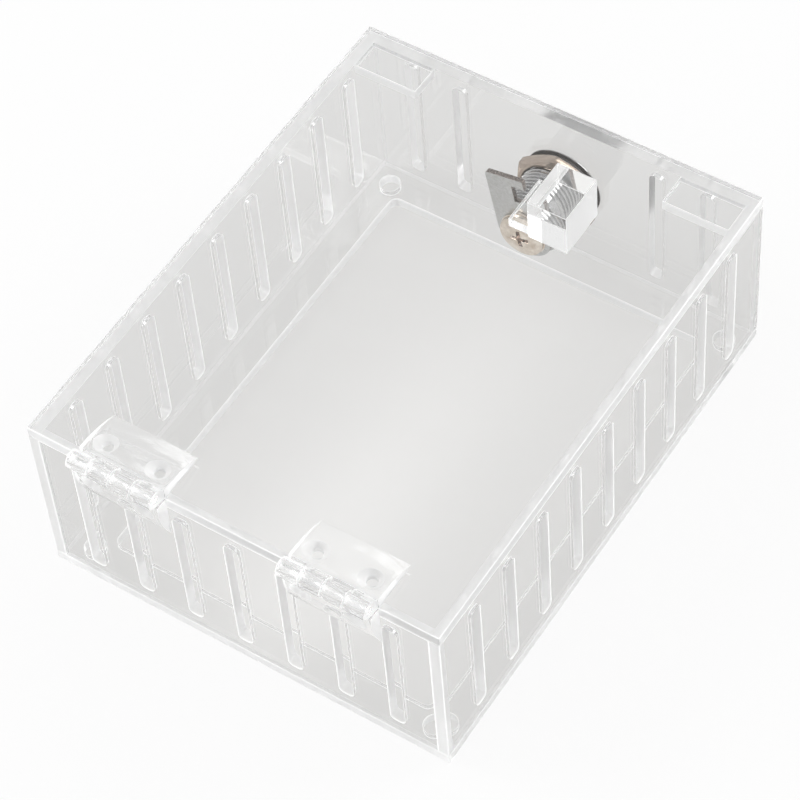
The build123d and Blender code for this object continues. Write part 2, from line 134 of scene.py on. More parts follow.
class Workbench:
    """The few hand tools that every piece is shaped with."""

    @staticmethod
    def clear_selection() -> None:
        """Leave edit mode and let go of everything."""
        if bpy.context.object is not None and bpy.context.object.mode != "OBJECT":
            bpy.ops.object.mode_set(mode="OBJECT")
        bpy.ops.object.select_all(action="DESELECT")

    @classmethod
    def hold(cls, piece: Piece) -> None:
        """Select one piece alone and make it the active one.

        Args:
            piece: The piece to hold.
        """
        cls.clear_selection()
        piece.select_set(True)
        bpy.context.view_layer.objects.active = piece

    @classmethod
    @contextmanager
    def editing(cls, piece: Piece, picked: bool = True) -> Iterator[None]:
        """Keep a piece in edit mode for a while.

        Args:
            piece: The piece to edit.
            picked: Whether all of it is selected at first, or nothing.

        Yields:
            Nothing, while the piece is open.
        """
        cls.hold(piece)
        bpy.ops.object.mode_set(mode="EDIT")
        bpy.ops.mesh.select_all(action="SELECT" if picked else "DESELECT")
        yield
        bpy.ops.object.mode_set(mode="OBJECT")

    @classmethod
    @contextmanager
    def picking(
        cls,
        piece: Piece,
        edges: EdgeTest | None = None,
        faces: Callable[[bmesh.types.BMFace], bool] | None = None,
    ) -> Iterator[None]:
        """Keep a piece in edit mode with some of its edges or faces selected.

        Args:
            piece: The piece to edit.
            edges: Test that picks edges.
            faces: Test that picks faces.

        Yields:
            Nothing, while the piece is open.
        """
        with cls.editing(piece, picked=False):
            bpy.ops.mesh.select_mode(type="EDGE" if edges else "FACE")
            shape = bmesh.from_edit_mesh(piece.data)
            for part in shape.edges if edges else shape.faces:
                part.select_set((edges or faces)(part))
            shape.select_flush_mode()
            bmesh.update_edit_mesh(piece.data)
            yield

    @classmethod
    def apply_place(cls, piece: Piece) -> None:
        """Put a piece's place, turn and scale into its mesh."""
        cls.hold(piece)
        bpy.ops.object.transform_apply(location=True, rotation=True, scale=True)

    @classmethod
    def settle(cls, piece: Piece) -> None:
        """Put a piece's place into its mesh, merge its points and turn its faces outwards.

        Args:
            piece: The piece to settle.
        """
        cls.apply_place(piece)
        with cls.editing(piece):
            bpy.ops.mesh.remove_doubles(threshold=WELD)
            bpy.ops.mesh.normals_make_consistent(inside=False)

    @classmethod
    def cuboid(cls, name: str, low: Point, high: Point) -> Piece:
        """Start a piece from a cube between two corners.

        Args:
            name: Name of the new piece.
            low: Lowest corner.
            high: Highest corner.

        Returns:
            The new piece, with its place in its mesh.
        """
        cls.clear_selection()
        centre = [(a + b) / 2 * MM for a, b in zip(low, high)]
        bpy.ops.mesh.primitive_cube_add(size=1.0, location=centre)
        piece = bpy.context.object
        piece.name = name
        piece.scale = [(b - a) * MM for a, b in zip(low, high)]
        cls.settle(piece)
        return piece

    @classmethod
    def rod(
        cls, name: str, centre: Point, axis: Along, radius: float, reach: float, sides: int
    ) -> Piece:
        """Start a piece from a cylinder.

        Args:
            name: Name of the new piece.
            centre: Its middle.
            axis: Its direction.
            radius: Its radius.
            reach: Its length.
            sides: Number of its sides.

        Returns:
            The new piece, with its place in its mesh.
        """
        cls.clear_selection()
        bpy.ops.mesh.primitive_cylinder_add(
            vertices=sides, radius=radius * MM, depth=reach * MM,
            location=Vector(centre) * MM, rotation=ROD_TURNS[axis],
        )
        piece = bpy.context.object
        piece.name = name
        cls.settle(piece)
        return piece

    @classmethod
    def drawn(cls, name: str, points: Sequence[Point], closed: bool = True) -> Piece:
        """Draw an outline point by point, as by extruding one corner.

        Args:
            name: Name of the new piece.
            points: Corners of the outline in order.
            closed: Whether the outline is closed and filled.

        Returns:
            The new piece, a face or an open line.
        """
        cls.clear_selection()
        places = [Vector(point) * MM for point in points]
        bpy.ops.mesh.primitive_plane_add(size=MM, location=places[0])
        piece = bpy.context.object
        piece.name = name
        cls.apply_place(piece)
        with cls.editing(piece):
            bpy.ops.mesh.select_mode(type="VERT")
            bpy.ops.mesh.select_all(action="SELECT")
            bpy.ops.mesh.merge(type="CENTER")
            bpy.ops.mesh.select_all(action="SELECT")
            for start, end in zip(places, places[1:]):
                bpy.ops.mesh.extrude_vertices_move(TRANSFORM_OT_translate={"value": end - start})
            bpy.ops.mesh.select_all(action="SELECT")
            if closed:
                bpy.ops.mesh.edge_face_add()
        return piece

    @classmethod
    def pull(cls, piece: Piece, along: Point) -> None:
        """Extrude a filled outline into a solid.

        Args:
            piece: The filled outline.
            along: Reach of the pull.
        """
        with cls.editing(piece):
            bpy.ops.mesh.extrude_region_move(TRANSFORM_OT_translate={"value": Vector(along) * MM})
        cls.settle(piece)

    @classmethod
    def spin(cls, piece: Piece, centre: Point, axis: Along, steps: int) -> None:
        """Spin an open outline once round an axis into a closed turned piece.

        Args:
            piece: The open outline.
            centre: A point of the axis.
            axis: Direction of the axis.
            steps: Number of steps round.
        """
        middle = Vector(centre) * MM
        with cls.editing(piece):
            bpy.ops.mesh.spin(steps=steps, angle=math.tau, center=middle, axis=axis.value)
        cls.settle(piece)

    @classmethod
    def shift(cls, piece: Piece, step: Point) -> None:
        """Move a piece and keep its place in its mesh."""
        piece.location = Vector(step) * MM
        cls.apply_place(piece)

    @classmethod
    def turn(cls, piece: Piece, centre: Point, axis: Along, degrees: float) -> None:
        """Turn a piece about a point and keep its place in its mesh.

        Args:
            piece: The piece to turn.
            centre: A point of the axis.
            axis: Direction of the axis.
            degrees: Angle, by the right hand.
        """
        pivot = Matrix.Translation(Vector(centre) * MM)
        turning = Matrix.Rotation(math.radians(degrees), 4, Vector(axis.value))
        piece.matrix_world = pivot @ turning @ pivot.inverted()
        cls.apply_place(piece)

    @classmethod
    def copy(cls, piece: Piece, name: str, step: Point) -> Piece:
        """Copy a piece with a mesh of its own.

        Args:
            piece: The piece to copy.
            name: Name of the copy.
            step: How far the copy stands from the first.

        Returns:
            The copy.
        """
        cls.hold(piece)
        bpy.ops.object.duplicate(linked=False)
        twin = bpy.context.object
        twin.name = name
        cls.shift(twin, step)
        return twin

    @classmethod
    def join(cls, pieces: Sequence[Piece]) -> Piece:
        """Join pieces into the first of them.

        Args:
            pieces: The pieces, of which only the first one stays.

        Returns:
            The joined piece.
        """
        cls.hold(pieces[0])
        for piece in pieces[1:]:
            piece.select_set(True)
        if len(pieces) > 1:
            bpy.ops.object.join()
        return pieces[0]

    @classmethod
    def round_edges(cls, piece: Piece, radius: float, steps: int, edges: EdgeTest) -> None:
        """Bevel the edges that a test picks.

        Args:
            piece: The piece to bevel.
            radius: Width of the bevel.
            steps: Segments of the bevel.
            edges: Test that picks the edges.
        """
        with cls.picking(piece, edges=edges):
            bpy.ops.mesh.bevel(
                offset=radius * MM, offset_type="OFFSET", segments=steps, affect="EDGES"
            )

    @classmethod
    def modify(cls, piece: Piece, kind: str, **settings: object) -> None:
        """Give a piece a modifier and apply it.

        Args:
            piece: The piece to modify.
            kind: Type of the modifier.
            settings: Properties of the modifier by name.
        """
        cls.hold(piece)
        bpy.ops.object.modifier_add(type=kind)
        modifier = piece.modifiers[-1]
        for name, value in settings.items():
            setattr(modifier, name, value)
        bpy.ops.object.modifier_apply(modifier=modifier.name)

    @classmethod
    def combine(cls, piece: Piece, others: Sequence[Piece], way: Combining) -> None:
        """Combine a piece with others by one Boolean.

        Args:
            piece: The piece that stays.
            others: The other pieces, which are used up.
            way: How they combine.
        """
        tool = cls.join(others)
        cls.modify(
            piece, "BOOLEAN", operation=way.value, solver="EXACT", use_self=True, object=tool
        )
        bpy.data.objects.remove(tool)
        cls.settle(piece)

    @classmethod
    def ease_edges(
        cls, piece: Piece, width: float, angle: float = 35.0, slot: int = -1
    ) -> None:
        """Break all the sharp edges of a piece by a small bevel.

        Args:
            piece: The piece to ease.
            width: Width of the bevel.
            angle: Smallest angle between faces, in degrees, that gets a bevel.
            slot: Material slot of the bevels, or -1 for that of the faces beside.
        """
        cls.reserve_slots(piece, slot + 1)
        cls.modify(
            piece, "BEVEL", width=width * MM, segments=EASE_STEPS, limit_method="ANGLE",
            angle_limit=math.radians(angle), use_clamp_overlap=True, material=slot,
        )
        cls.settle(piece)

    @staticmethod
    def reserve_slots(piece: Piece, count: int) -> None:
        """Give a piece at least so many material slots."""
        while len(piece.data.materials) < count:
            piece.data.materials.append(None)

    @classmethod
    def smooth(cls, piece: Piece, angle: float = 30.0) -> None:
        """Shade a piece smooth except across its sharp edges."""
        cls.hold(piece)
        bpy.ops.object.shade_smooth_by_angle(angle=math.radians(angle))


# Finishes


def grey(tone: float) -> Colour:
    """Opaque grey of a tone."""
    return (tone, tone, tone, 1.0)


class Nodes:
    """Small helper that adds and links the nodes of one tree."""

    def __init__(self, tree: bpy.types.NodeTree) -> None:
        """Start from an empty tree."""
        self.tree = tree
        tree.nodes.clear()

    def add(
        self,
        kind: str,
        feeds: dict[str | int, Socket | float | Sequence[float]] | None = None,
        **settings: object,
    ) -> Node:
        """Add a node.

        Args:
            kind: Type of the node.
            feeds: What goes into its inputs, by name or number: sockets or plain values.
            settings: Properties of the node by name.

        Returns:
            The new node.
        """
        node = self.tree.nodes.new(kind)
        for name, value in settings.items():
            setattr(node, name, value)
        for name, value in (feeds or {}).items():
            if isinstance(value, Socket):
                self.tree.links.new(value, node.inputs[name])
            else:
                node.inputs[name].default_value = value
        return node

    def math(self, way: str, first: Socket, second: Socket | float = 0.0) -> Socket:
        """Work with one or two values.

        Args:
            way: Operation of the Math node.
            first: First value.
            second: Second value, a socket or a number.

        Returns:
            The result.
        """
        return self.add("ShaderNodeMath", {0: first, 1: second}, operation=way).outputs[0]

    def blend(self, share: Socket, main: Socket | Colour, accent: Socket | Colour) -> Socket:
        """Blend two colours.

        Args:
            share: Share of the second colour.
            main: First colour.
            accent: Second colour.

        Returns:
            The blend.
        """
        feeds = {"Factor": share, "A": main, "B": accent}
        return self.add("ShaderNodeMix", feeds, data_type="RGBA").outputs["Result"]

    def raised(self, height: Socket, strength: float, distance: float) -> Socket:
        """Raise a surface by a height.

        Args:
            height: The height, from zero to one.
            strength: Strength of the relief.
            distance: Depth of the relief in metres.

        Returns:
            The normal of the surface.
        """
        feeds = {"Height": height, "Strength": strength, "Distance": distance}
        return self.add("ShaderNodeBump", feeds).outputs["Normal"]

    def place(self) -> Socket:
        """Place on the piece."""
        return self.add("ShaderNodeTexCoord").outputs["Object"]

    def surface(self, shader: Socket) -> None:
        """End a material's tree with its shader."""
        self.add("ShaderNodeOutputMaterial", {"Surface": shader})


def bare_material(name: str) -> tuple[Material, Nodes]:
    """Start a material.

    Args:
        name: Name of the material.

    Returns:
        The material and the helper of its empty tree.
    """
    made = bpy.data.materials.new(name)
    made.use_nodes = True
    return made, Nodes(made.node_tree)


class PortKind(Enum):
    """Kinds of socket that a shader group has."""

    COLOUR = "NodeSocketColor"
    NUMBER = "NodeSocketFloat"
    VECTOR = "NodeSocketVector"


@dataclass(frozen=True)
class Port:
    """One named input or output of a shader group."""

    name: str
    kind: PortKind = PortKind.NUMBER
    value: float | Colour | None = None


class SharedEffects:
    """Shader groups that several finishes use, each built once."""

    def __init__(self) -> None:
        """Build all the groups."""
        self.mottle = self._mottle()
        self.scratches = self._scratches()
        self.ripple = self._ripple()

    @staticmethod
    def _group(name: str, inputs: Sequence[Port], outputs: Sequence[Port]) -> tuple[Nodes, Node]:
        """Start a group with named sockets.

        Args:
            name: Name of the group.
            inputs: The sockets that go in.
            outputs: The sockets that come out.

        Returns:
            The helper of the group's tree and the node that brings the inputs.
        """
        tree = bpy.data.node_groups.new(name, "ShaderNodeTree")
        for direction, ports in (("INPUT", inputs), ("OUTPUT", outputs)):
            for port in ports:
                socket = tree.interface.new_socket(
                    name=port.name, in_out=direction, socket_type=port.kind.value
                )
                if port.value is not None:
                    socket.default_value = port.value
        nodes = Nodes(tree)
        return nodes, nodes.add("NodeGroupInput")

    def _mottle(self) -> bpy.types.NodeTree:
        """Uneven blend of two colours, as in dull plating, and as painted shade with painted
        glints in the screw's recess.

        Returns:
            The group.
        """
        inputs = (
            Port("Main", PortKind.COLOUR, grey(0.5)),
            Port("Accent", PortKind.COLOUR, grey(0.5)),
            Port("Scale", value=200.0),
            Port("Amount", value=0.5),
        )
        nodes, given = self._group("mottle", inputs, (Port("Colour", PortKind.COLOUR),))
        feeds = {
            "Vector": nodes.place(),
            "Scale": given.outputs["Scale"],
            "Detail": 4.0,
            "Roughness": 0.6,
        }
        cloud = nodes.add("ShaderNodeTexNoise", feeds)
        feeds = {"Value": cloud.outputs["Fac"], "From Min": 0.35, "From Max": 0.68}
        patches = nodes.add("ShaderNodeMapRange", feeds)
        share = nodes.math("MULTIPLY", patches.outputs["Result"], given.outputs["Amount"])
        colour = nodes.blend(share, given.outputs["Main"], given.outputs["Accent"])
        nodes.add("NodeGroupOutput", {"Colour": colour})
        return nodes.tree

    def _scratches(self) -> bpy.types.NodeTree:
        """Fine lines drawn out along one axis, as a value and a height.

        Returns:
            The group.
        """
        inputs = (
            Port("Stretch", PortKind.VECTOR),
            Port("Low", value=0.2),
            Port("High", value=0.3),
        )
        nodes, given = self._group("scratches", inputs, (Port("Roughness"), Port("Height")))
        feeds = {0: nodes.place(), 1: given.outputs["Stretch"]}
        drawn_out = nodes.add("ShaderNodeVectorMath", feeds, operation="MULTIPLY")
        feeds = {"Vector": drawn_out.outputs["Vector"], "Scale": 1.0, "Detail": 3.0}
        lines = nodes.add("ShaderNodeTexNoise", feeds)
        feeds = {
            "Value": lines.outputs["Fac"],
            "From Min": 0.3,
            "From Max": 0.7,
            "To Min": given.outputs["Low"],
            "To Max": given.outputs["High"],
        }
        span = nodes.add("ShaderNodeMapRange", feeds)
        results = {"Roughness": span.outputs["Result"], "Height": lines.outputs["Fac"]}
        nodes.add("NodeGroupOutput", results)
        return nodes.tree

    def _ripple(self) -> bpy.types.NodeTree:
        """Slow unevenness of a polished sheet, and the faint tint that goes with it.

        Returns:
            The group.
        """
        inputs = (
            Port("Scale", value=40.0),
            Port("Main", PortKind.COLOUR, grey(1.0)),
            Port("Dull", PortKind.COLOUR, (0.97, 0.975, 0.975, 1.0)),
        )
        outputs = (Port("Colour", PortKind.COLOUR), Port("Height"))
        nodes, given = self._group("sheet_ripple", inputs, outputs)
        feeds = {"Vector": nodes.place(), "Scale": given.outputs["Scale"], "Detail": 2.0}
        waves = nodes.add("ShaderNodeTexNoise", feeds).outputs["Fac"]
        colour = nodes.blend(waves, given.outputs["Main"], given.outputs["Dull"])
        nodes.add("NodeGroupOutput", {"Colour": colour, "Height": waves})
        return nodes.tree


@dataclass(frozen=True)
class ClearPlastic:
    """Clear sheet or moulding that light passes through, some of its faces with a painted glow.
    """

    name: str
    main: Colour = grey(1.0)
    dull: Colour = (0.99, 0.992, 0.992, 1.0)
    ior: float = 1.49
    roughness: float = 0.0
    scale: float = 40.0
    bump: float = 0.0
    bump_depth: float = 0.0002  # metres
    clearness: float = 1.0
    # painted glow: light that the face gives off by itself, painted light standing in for light
    # caught on edges and ends
    painted_glow: float = 0.0

    def material(self, effects: SharedEffects) -> Material:
        """Build the material.

        Args:
            effects: The shared shader groups.

        Returns:
            The finished material.
        """
        made, nodes = bare_material(self.name)
        feeds = {"Scale": self.scale, "Main": self.main, "Dull": self.dull}
        ripple = nodes.add("ShaderNodeGroup", feeds, node_tree=effects.ripple)
        feeds = {
            "Base Color": ripple.outputs["Colour"],
            "Metallic": 0.0,
            "Transmission Weight": self.clearness,
            "IOR": self.ior,
            "Roughness": self.roughness,
            "Emission Color": grey(1.0),
            "Emission Strength": self.painted_glow,
        }
        if self.bump > 0.0:
            feeds["Normal"] = nodes.raised(ripple.outputs["Height"], self.bump, self.bump_depth)
        nodes.surface(nodes.add("ShaderNodeBsdfPrincipled", feeds).outputs["BSDF"])
        return made


@dataclass(frozen=True)
class PlatedMetal:
    """Plated or plain metal with an uneven tone and fine lines."""

    name: str
    main: Colour
    accent: Colour
    low: float
    high: float
    amount: float = 0.6
    scale: float = 260.0
    stretch: Point = (900.0, 900.0, 900.0)
    bump: float = 0.05
    bump_depth: float = 0.0001  # metres

    def material(self, effects: SharedEffects) -> Material:
        """Build the material.

        Args:
            effects: The shared shader groups.

        Returns:
            The finished material.
        """
        made, nodes = bare_material(self.name)
        feeds = {
            "Main": self.main,
            "Accent": self.accent,
            "Scale": self.scale,
            "Amount": self.amount,
        }
        tone = nodes.add("ShaderNodeGroup", feeds, node_tree=effects.mottle)
        feeds = {"Stretch": self.stretch, "Low": self.low, "High": self.high}
        lines = nodes.add("ShaderNodeGroup", feeds, node_tree=effects.scratches)
        feeds = {
            "Base Color": tone.outputs["Colour"],
            "Metallic": 1.0,
            "Roughness": lines.outputs["Roughness"],
            "Normal": nodes.raised(lines.outputs["Height"], self.bump, self.bump_depth),
        }
        nodes.surface(nodes.add("ShaderNodeBsdfPrincipled", feeds).outputs["BSDF"])
        return made


class Finish(Enum):
    """Every finish of the box."""

    # Every glow strength below is painted light, a face shining by itself: faint on the block and
    # the mouldings, stronger on cut and eased edges, the keeper's sawn face, the hinge ends, the
    # knuckle faces and the countersinks.
    SHEET = ClearPlastic("clear_sheet")
    CUT_FACE = ClearPlastic(
        "cut_face", roughness=0.3, scale=900.0, clearness=0.88, painted_glow=0.04
    )
    EDGE_FACE = ClearPlastic("edge_face", roughness=0.35, scale=700.0, painted_glow=0.09)
    # Painted glow, as if lit, for outer edges that face low Y or up.
    EDGE_PAINTED_GLOW = ClearPlastic(
        "edge_painted_glow", roughness=0.35, scale=700.0, clearness=0.85, painted_glow=0.12
    )
    # Painted highlight line on eased corners.
    LINE_PAINTED_HIGHLIGHT = ClearPlastic(
        "line_painted_highlight", roughness=0.3, scale=700.0, clearness=0.5, painted_glow=0.34
    )
    # Rough as sawn, with a painted glow.
    SAWN_PAINTED_GLOW_FACE = ClearPlastic(
        "sawn_painted_glow_face", dull=grey(0.95), roughness=0.45, scale=1400.0, bump=0.2, clearness=0.5,
        painted_glow=0.25,
    )
    BLOCK = ClearPlastic("clear_block", painted_glow=0.042)
    MOULDING = ClearPlastic(
        "clear_moulding", roughness=0.13, scale=90.0, bump=0.02, painted_glow=0.033
    )
    MOULDED_END = ClearPlastic(
        "moulded_end", roughness=0.3, scale=600.0, clearness=0.6, painted_glow=0.5
    )
    KNUCKLE_FACE = ClearPlastic(
        "knuckle_face", roughness=0.3, scale=600.0, clearness=0.6, painted_glow=0.2
    )
    BARREL_SKIN = ClearPlastic(
        "barrel_skin", roughness=0.12, scale=200.0, bump=0.01, painted_glow=0.01
    )
    SUNK_FACE = ClearPlastic("sunk_face", roughness=0.6, scale=600.0, painted_glow=0.155)
    CHROME = PlatedMetal("dark_chrome", grey(0.53), grey(0.44), low=0.04, high=0.1)
    # The screw's cross recess: painted shade, with painted copper glints.
    CROSS_PAINTED_SHADE_GLINT = PlatedMetal(
        "cross_painted_shade_and_glint", (1.0, 0.88, 0.8, 1.0), (0.08, 0.04, 0.02, 1.0), low=0.05, high=0.15,
        amount=1.0, scale=1100.0,
    )
    NUT = PlatedMetal(
        "nut_nickel", (0.47, 0.4, 0.34, 1.0), (0.38, 0.3, 0.24, 1.0), low=0.12, high=0.22,
        bump=0.02,
    )
    CAM = PlatedMetal(
        "cam_zinc", grey(0.62), (0.48, 0.48, 0.46, 1.0), low=0.25, high=0.4,
        amount=0.8, scale=1300.0, stretch=(300.0, 300.0, 2600.0), bump=0.15,
    )
    CAM_SIDE = PlatedMetal(
        "cam_side", (0.3, 0.27, 0.25, 1.0), (0.2, 0.16, 0.14, 1.0), low=0.2, high=0.35
    )
    SCREW = PlatedMetal(
        "screw_nickel", (0.84, 0.78, 0.7, 1.0), (0.5, 0.38, 0.28, 1.0), low=0.05, high=0.14,
        amount=0.7, scale=330.0,
    )
    PLUG = PlatedMetal("plug_metal", grey(0.62), grey(0.52), low=0.15, high=0.28)
    BRASS = PlatedMetal(
        "wafer_brass", (0.76, 0.6, 0.3, 1.0), (0.62, 0.46, 0.2, 1.0), low=0.25, high=0.4
    )
    WIRE = PlatedMetal("spring_wire", grey(0.7), grey(0.55), low=0.15, high=0.3)


class Finishes:
    """All the finishes as materials, each built once."""

    def __init__(self) -> None:
        """Build every material."""
        effects = SharedEffects()
        self.made = {finish: finish.value.material(effects) for finish in Finish}

    def dress(self, piece: Piece, finishes: Sequence[Finish]) -> None:
        """Put finishes into a piece's material slots.

        Args:
            piece: The piece to dress.
            finishes: Its finishes, in the order of its slots.
        """
        Workbench.reserve_slots(piece, len(finishes))
        for slot, finish in enumerate(finishes):
            piece.data.materials[slot] = self.made[finish]


# Assemblies


@dataclass
class Assembly:
    """Common ground of the sub-assemblies: the box's size and the way a piece is filed."""

    finishes: Finishes
    width: float = 116.5
    length: float = 150.0
    height: float = 55.0
    lock_x: float = 1.0

    def file(
        self, piece: Piece, body: Body, slot: str, finishes: Sequence[Finish], node: str
    ) -> None:
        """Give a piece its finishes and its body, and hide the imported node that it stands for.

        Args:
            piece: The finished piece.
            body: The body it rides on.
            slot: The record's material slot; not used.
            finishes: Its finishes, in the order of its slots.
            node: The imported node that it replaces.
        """
        self.finishes.dress(piece, finishes)
        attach(piece, body.value)
        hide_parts(node)
        LOG.info("%s: %d faces on %s", piece.name, len(piece.data.polygons), body.value)

    @staticmethod
    def mark_faces(
        piece: Piece, finishes: Sequence[Finish], tests: Sequence[tuple[Finish, FaceTest]]
    ) -> None:
        """Give the plain faces that each test picks, one test after another, its finish.

        Args:
            piece: The piece whose faces are marked.
            finishes: Its finishes in the order of its slots, the plain one first.
            tests: Finishes with tests of a face's centre, in millimetres, and normal.
        """
        Workbench.reserve_slots(piece, len(finishes))
        for finish, test in tests:
            for face in piece.data.polygons:
                if face.material_index == 0 and test(face.center / MM, face.normal):
                    face.material_index = finishes.index(finish)


@dataclass
class SheetBox(Assembly):
    """Base, walls, corner stops and lid, all of clear sheet."""

    sheet: float = 3.0
    rim: float = 11.25
    cutout_corner: float = 2.0
    cutout_corner_steps: int = 6
    screw_inset: float = 7.75
    screw_hole: float = 5.5
    slot_width: float = 4.0
    slot_corner: float = 1.4
    slot_corner_steps: int = 5
    slot_land: float = 4.5
    side_slots: int = 9
    side_pitch: float = 15.0
    end_slots: int = 7
    end_pitch: float = 14.7
    lock_hole: float = 19.0
    hole_sides: int = 64
    hole_reach: float = 12.0
    cutter_past: float = 4.0
    frame_margin: float = 5.0
    brink: float = 0.5
    ease: float = 0.2
    lid_gap: float = 0.06
    hinge_clear: float = 0.08

    @staticmethod
    def wall_point(runs: Along, along: float, across: float, up: float) -> Point:
        """Point of the box from a place along a wall, through it and above the ground."""
        return (along, across, up) if runs is Along.X else (across, along, up)

    def slot_cutter(self, runs: Along, centre: float, wall: float) -> Piece:
        """Cutter for one slot, its four long edges rounded.

        Args:
            runs: Axis that the wall runs along.
            centre: The slot's place on that axis.
            wall: Place of the wall's middle plane on the other axis.

        Returns:
            The cutter.
        """
        half, past = self.slot_width / 2, self.cutter_past
        land = self.sheet + self.slot_land
        low = self.wall_point(runs, centre - half, wall - past, land)
        high = self.wall_point(runs, centre + half, wall + past, self.height - land)
        cutter = Workbench.cuboid("slot_cutter", low, high)
        through = Along.Y if runs is Along.X else Along.X
        Workbench.round_edges(
            cutter, self.slot_corner, self.slot_corner_steps, runs_along(through)
        )
        return cutter

    def slots(self, runs: Along, places: Sequence[float], wall: float) -> list[Piece]:
        """Cutters for a row of slots, the first one modelled and the others copied.

        Args:
            runs: Axis that the wall runs along.
            places: Places of the slots on that axis.
            wall: Place of the wall's middle plane on the other axis.

        Returns:
            The cutters.
        """
        first = self.slot_cutter(runs, places[0], wall)
        cutters = [first]
        for place in places[1:]:
            step = tuple(value * (place - places[0]) for value in runs.value)
            cutters.append(Workbench.copy(first, "slot_cutter", step))
        return cutters

    def drill(self, name: str, centre: Point, axis: Along, diameter: float) -> Piece:
        """Round cutter along an axis.

        Args:
            name: Name of the cutter.
            centre: Its middle.
            axis: Its direction.
            diameter: Its diameter.

        Returns:
            The cutter.
        """
        return Workbench.rod(
            name, centre, axis, diameter / 2, self.hole_reach, self.hole_sides
        )

    def finish_panel(
        self,
        piece: Piece,
        body: Body,
        node: str,
        thin: Along,
        inner: Callable[[Vector], bool],
        lit: bool = False,
        lined: bool = False,
    ) -> None:
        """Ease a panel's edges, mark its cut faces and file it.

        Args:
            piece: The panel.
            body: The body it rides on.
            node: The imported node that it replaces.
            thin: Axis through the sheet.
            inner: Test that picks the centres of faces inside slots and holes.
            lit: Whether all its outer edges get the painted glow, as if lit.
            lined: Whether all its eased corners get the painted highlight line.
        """
        Workbench.ease_edges(piece, self.ease)

        def is_cut(centre: Vector, normal: Vector) -> bool:
            """Whether a face lies inside a slot or hole."""
            return inner(centre) and abs(normal[thin.index()]) < ACROSS

        def is_edge(centre: Vector, normal: Vector) -> bool:
            """Whether a face is the outer edge of the sheet."""
            return not inner(centre) and abs(normal[thin.index()]) < ACROSS

        def is_painted_glow_edge(centre: Vector, normal: Vector) -> bool:
            """Whether an outer edge gets a painted glow as if lit: facing low Y or up."""
            return is_edge(centre, normal) and (lit or normal.y < -FACING or normal.z > FACING)

        def is_eased(centre: Vector, normal: Vector) -> bool:
            """Whether a face is an eased corner."""
            return abs(normal[thin.index()]) < FLAT

        def is_line(centre: Vector, normal: Vector) -> bool:
            """Whether an eased corner shows a painted highlight line."""
            picked = lined or inner(centre) or normal.y < -ACROSS or normal.x > ACROSS
            return picked and is_eased(centre, normal)

        finishes = (
            Finish.SHEET, Finish.CUT_FACE, Finish.EDGE_FACE, Finish.LINE_PAINTED_HIGHLIGHT, Finish.EDGE_PAINTED_GLOW,
        )
        tests = (
            (Finish.CUT_FACE, is_cut), (Finish.EDGE_PAINTED_GLOW, is_painted_glow_edge), (Finish.EDGE_FACE, is_edge),
            (Finish.LINE_PAINTED_HIGHLIGHT, is_line), (Finish.EDGE_FACE, is_eased),
        )
        self.mark_faces(piece, finishes, tests)
        self.file(piece, body, "clear_acrylic", finishes, node)

    def build_base(self) -> None:
        """Base plate with its window for the thermostat and four screw holes."""
        x, y = self.width / 2, self.length / 2
        plate = Workbench.cuboid("base_sheet", (-x, -y, 0), (x, y, self.sheet))
        low = (self.rim - x, self.rim - y, -self.cutter_past)
        high = (x - self.rim, y - self.rim, self.sheet + self.cutter_past)
        window = Workbench.cuboid("window_cutter", low, high)
        Workbench.round_edges(
            window, self.cutout_corner, self.cutout_corner_steps, runs_along(Along.Z)
        )
        cutters = [window]
        hole_x, hole_y = x - self.screw_inset, y - self.screw_inset
        for side in (-1, 1):
            for end in (-1, 1):
                place = (side * hole_x, end * hole_y, self.sheet / 2)
                cutters.append(self.drill("screw_hole", place, Along.Z, self.screw_hole))
        Workbench.combine(plate, cutters, Combining.TAKE)
        edge_x, edge_y = x - self.brink, y - self.brink
        self.finish_panel(
            plate, Body.BOX, "base_plate", Along.Z,
            lambda at: abs(at.x) < edge_x and abs(at.y) < edge_y,
        )

    @staticmethod
    def row(count: int, pitch: float) -> list[float]:
        """Places of a row of slots about the middle of a wall."""
        return [pitch * (index - count // 2) for index in range(count)]

    def build_wall(
        self, node: str, runs: Along, side: int, places: Sequence[float], hole: bool = False
    ) -> None:
        """Wall with a row of slots.

        The side walls run the box's full length, and the end walls stand between them.

        Args:
            node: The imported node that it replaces.
            runs: Axis that the wall runs along.
            side: -1 for the wall at the low end of the other axis and 1 for the other one.
            places: Places of its slots.
            hole: Whether it has the lock's hole.
        """
        if runs is Along.Y:
            thin, reach, outer = Along.X, self.length / 2, self.width / 2
        else:
            thin, reach, outer = Along.Y, self.width / 2 - self.sheet + BOND, self.length / 2
        near, far = sorted((side * (outer - self.sheet), side * outer))
        low = self.wall_point(runs, -reach, near, self.sheet - BOND)
        high = self.wall_point(runs, reach, far, self.height - self.sheet - self.lid_gap)
        wall = Workbench.cuboid(node + "_sheet", low, high)
        middle = side * (outer - self.sheet / 2)
        cutters = self.slots(runs, places, middle)
        if hole:
            centre = self.wall_point(runs, self.lock_x, middle, self.height / 2)
            cutters.append(self.drill("lock_hole", centre, thin, self.lock_hole))
        Workbench.combine(wall, cutters, Combining.TAKE)
        margin, axis = self.frame_margin, runs.index()
        self.finish_panel(
            wall, Body.BOX, node, thin,
            lambda at: abs(at[axis]) < reach - margin and margin < at.z < self.height - margin,
        )

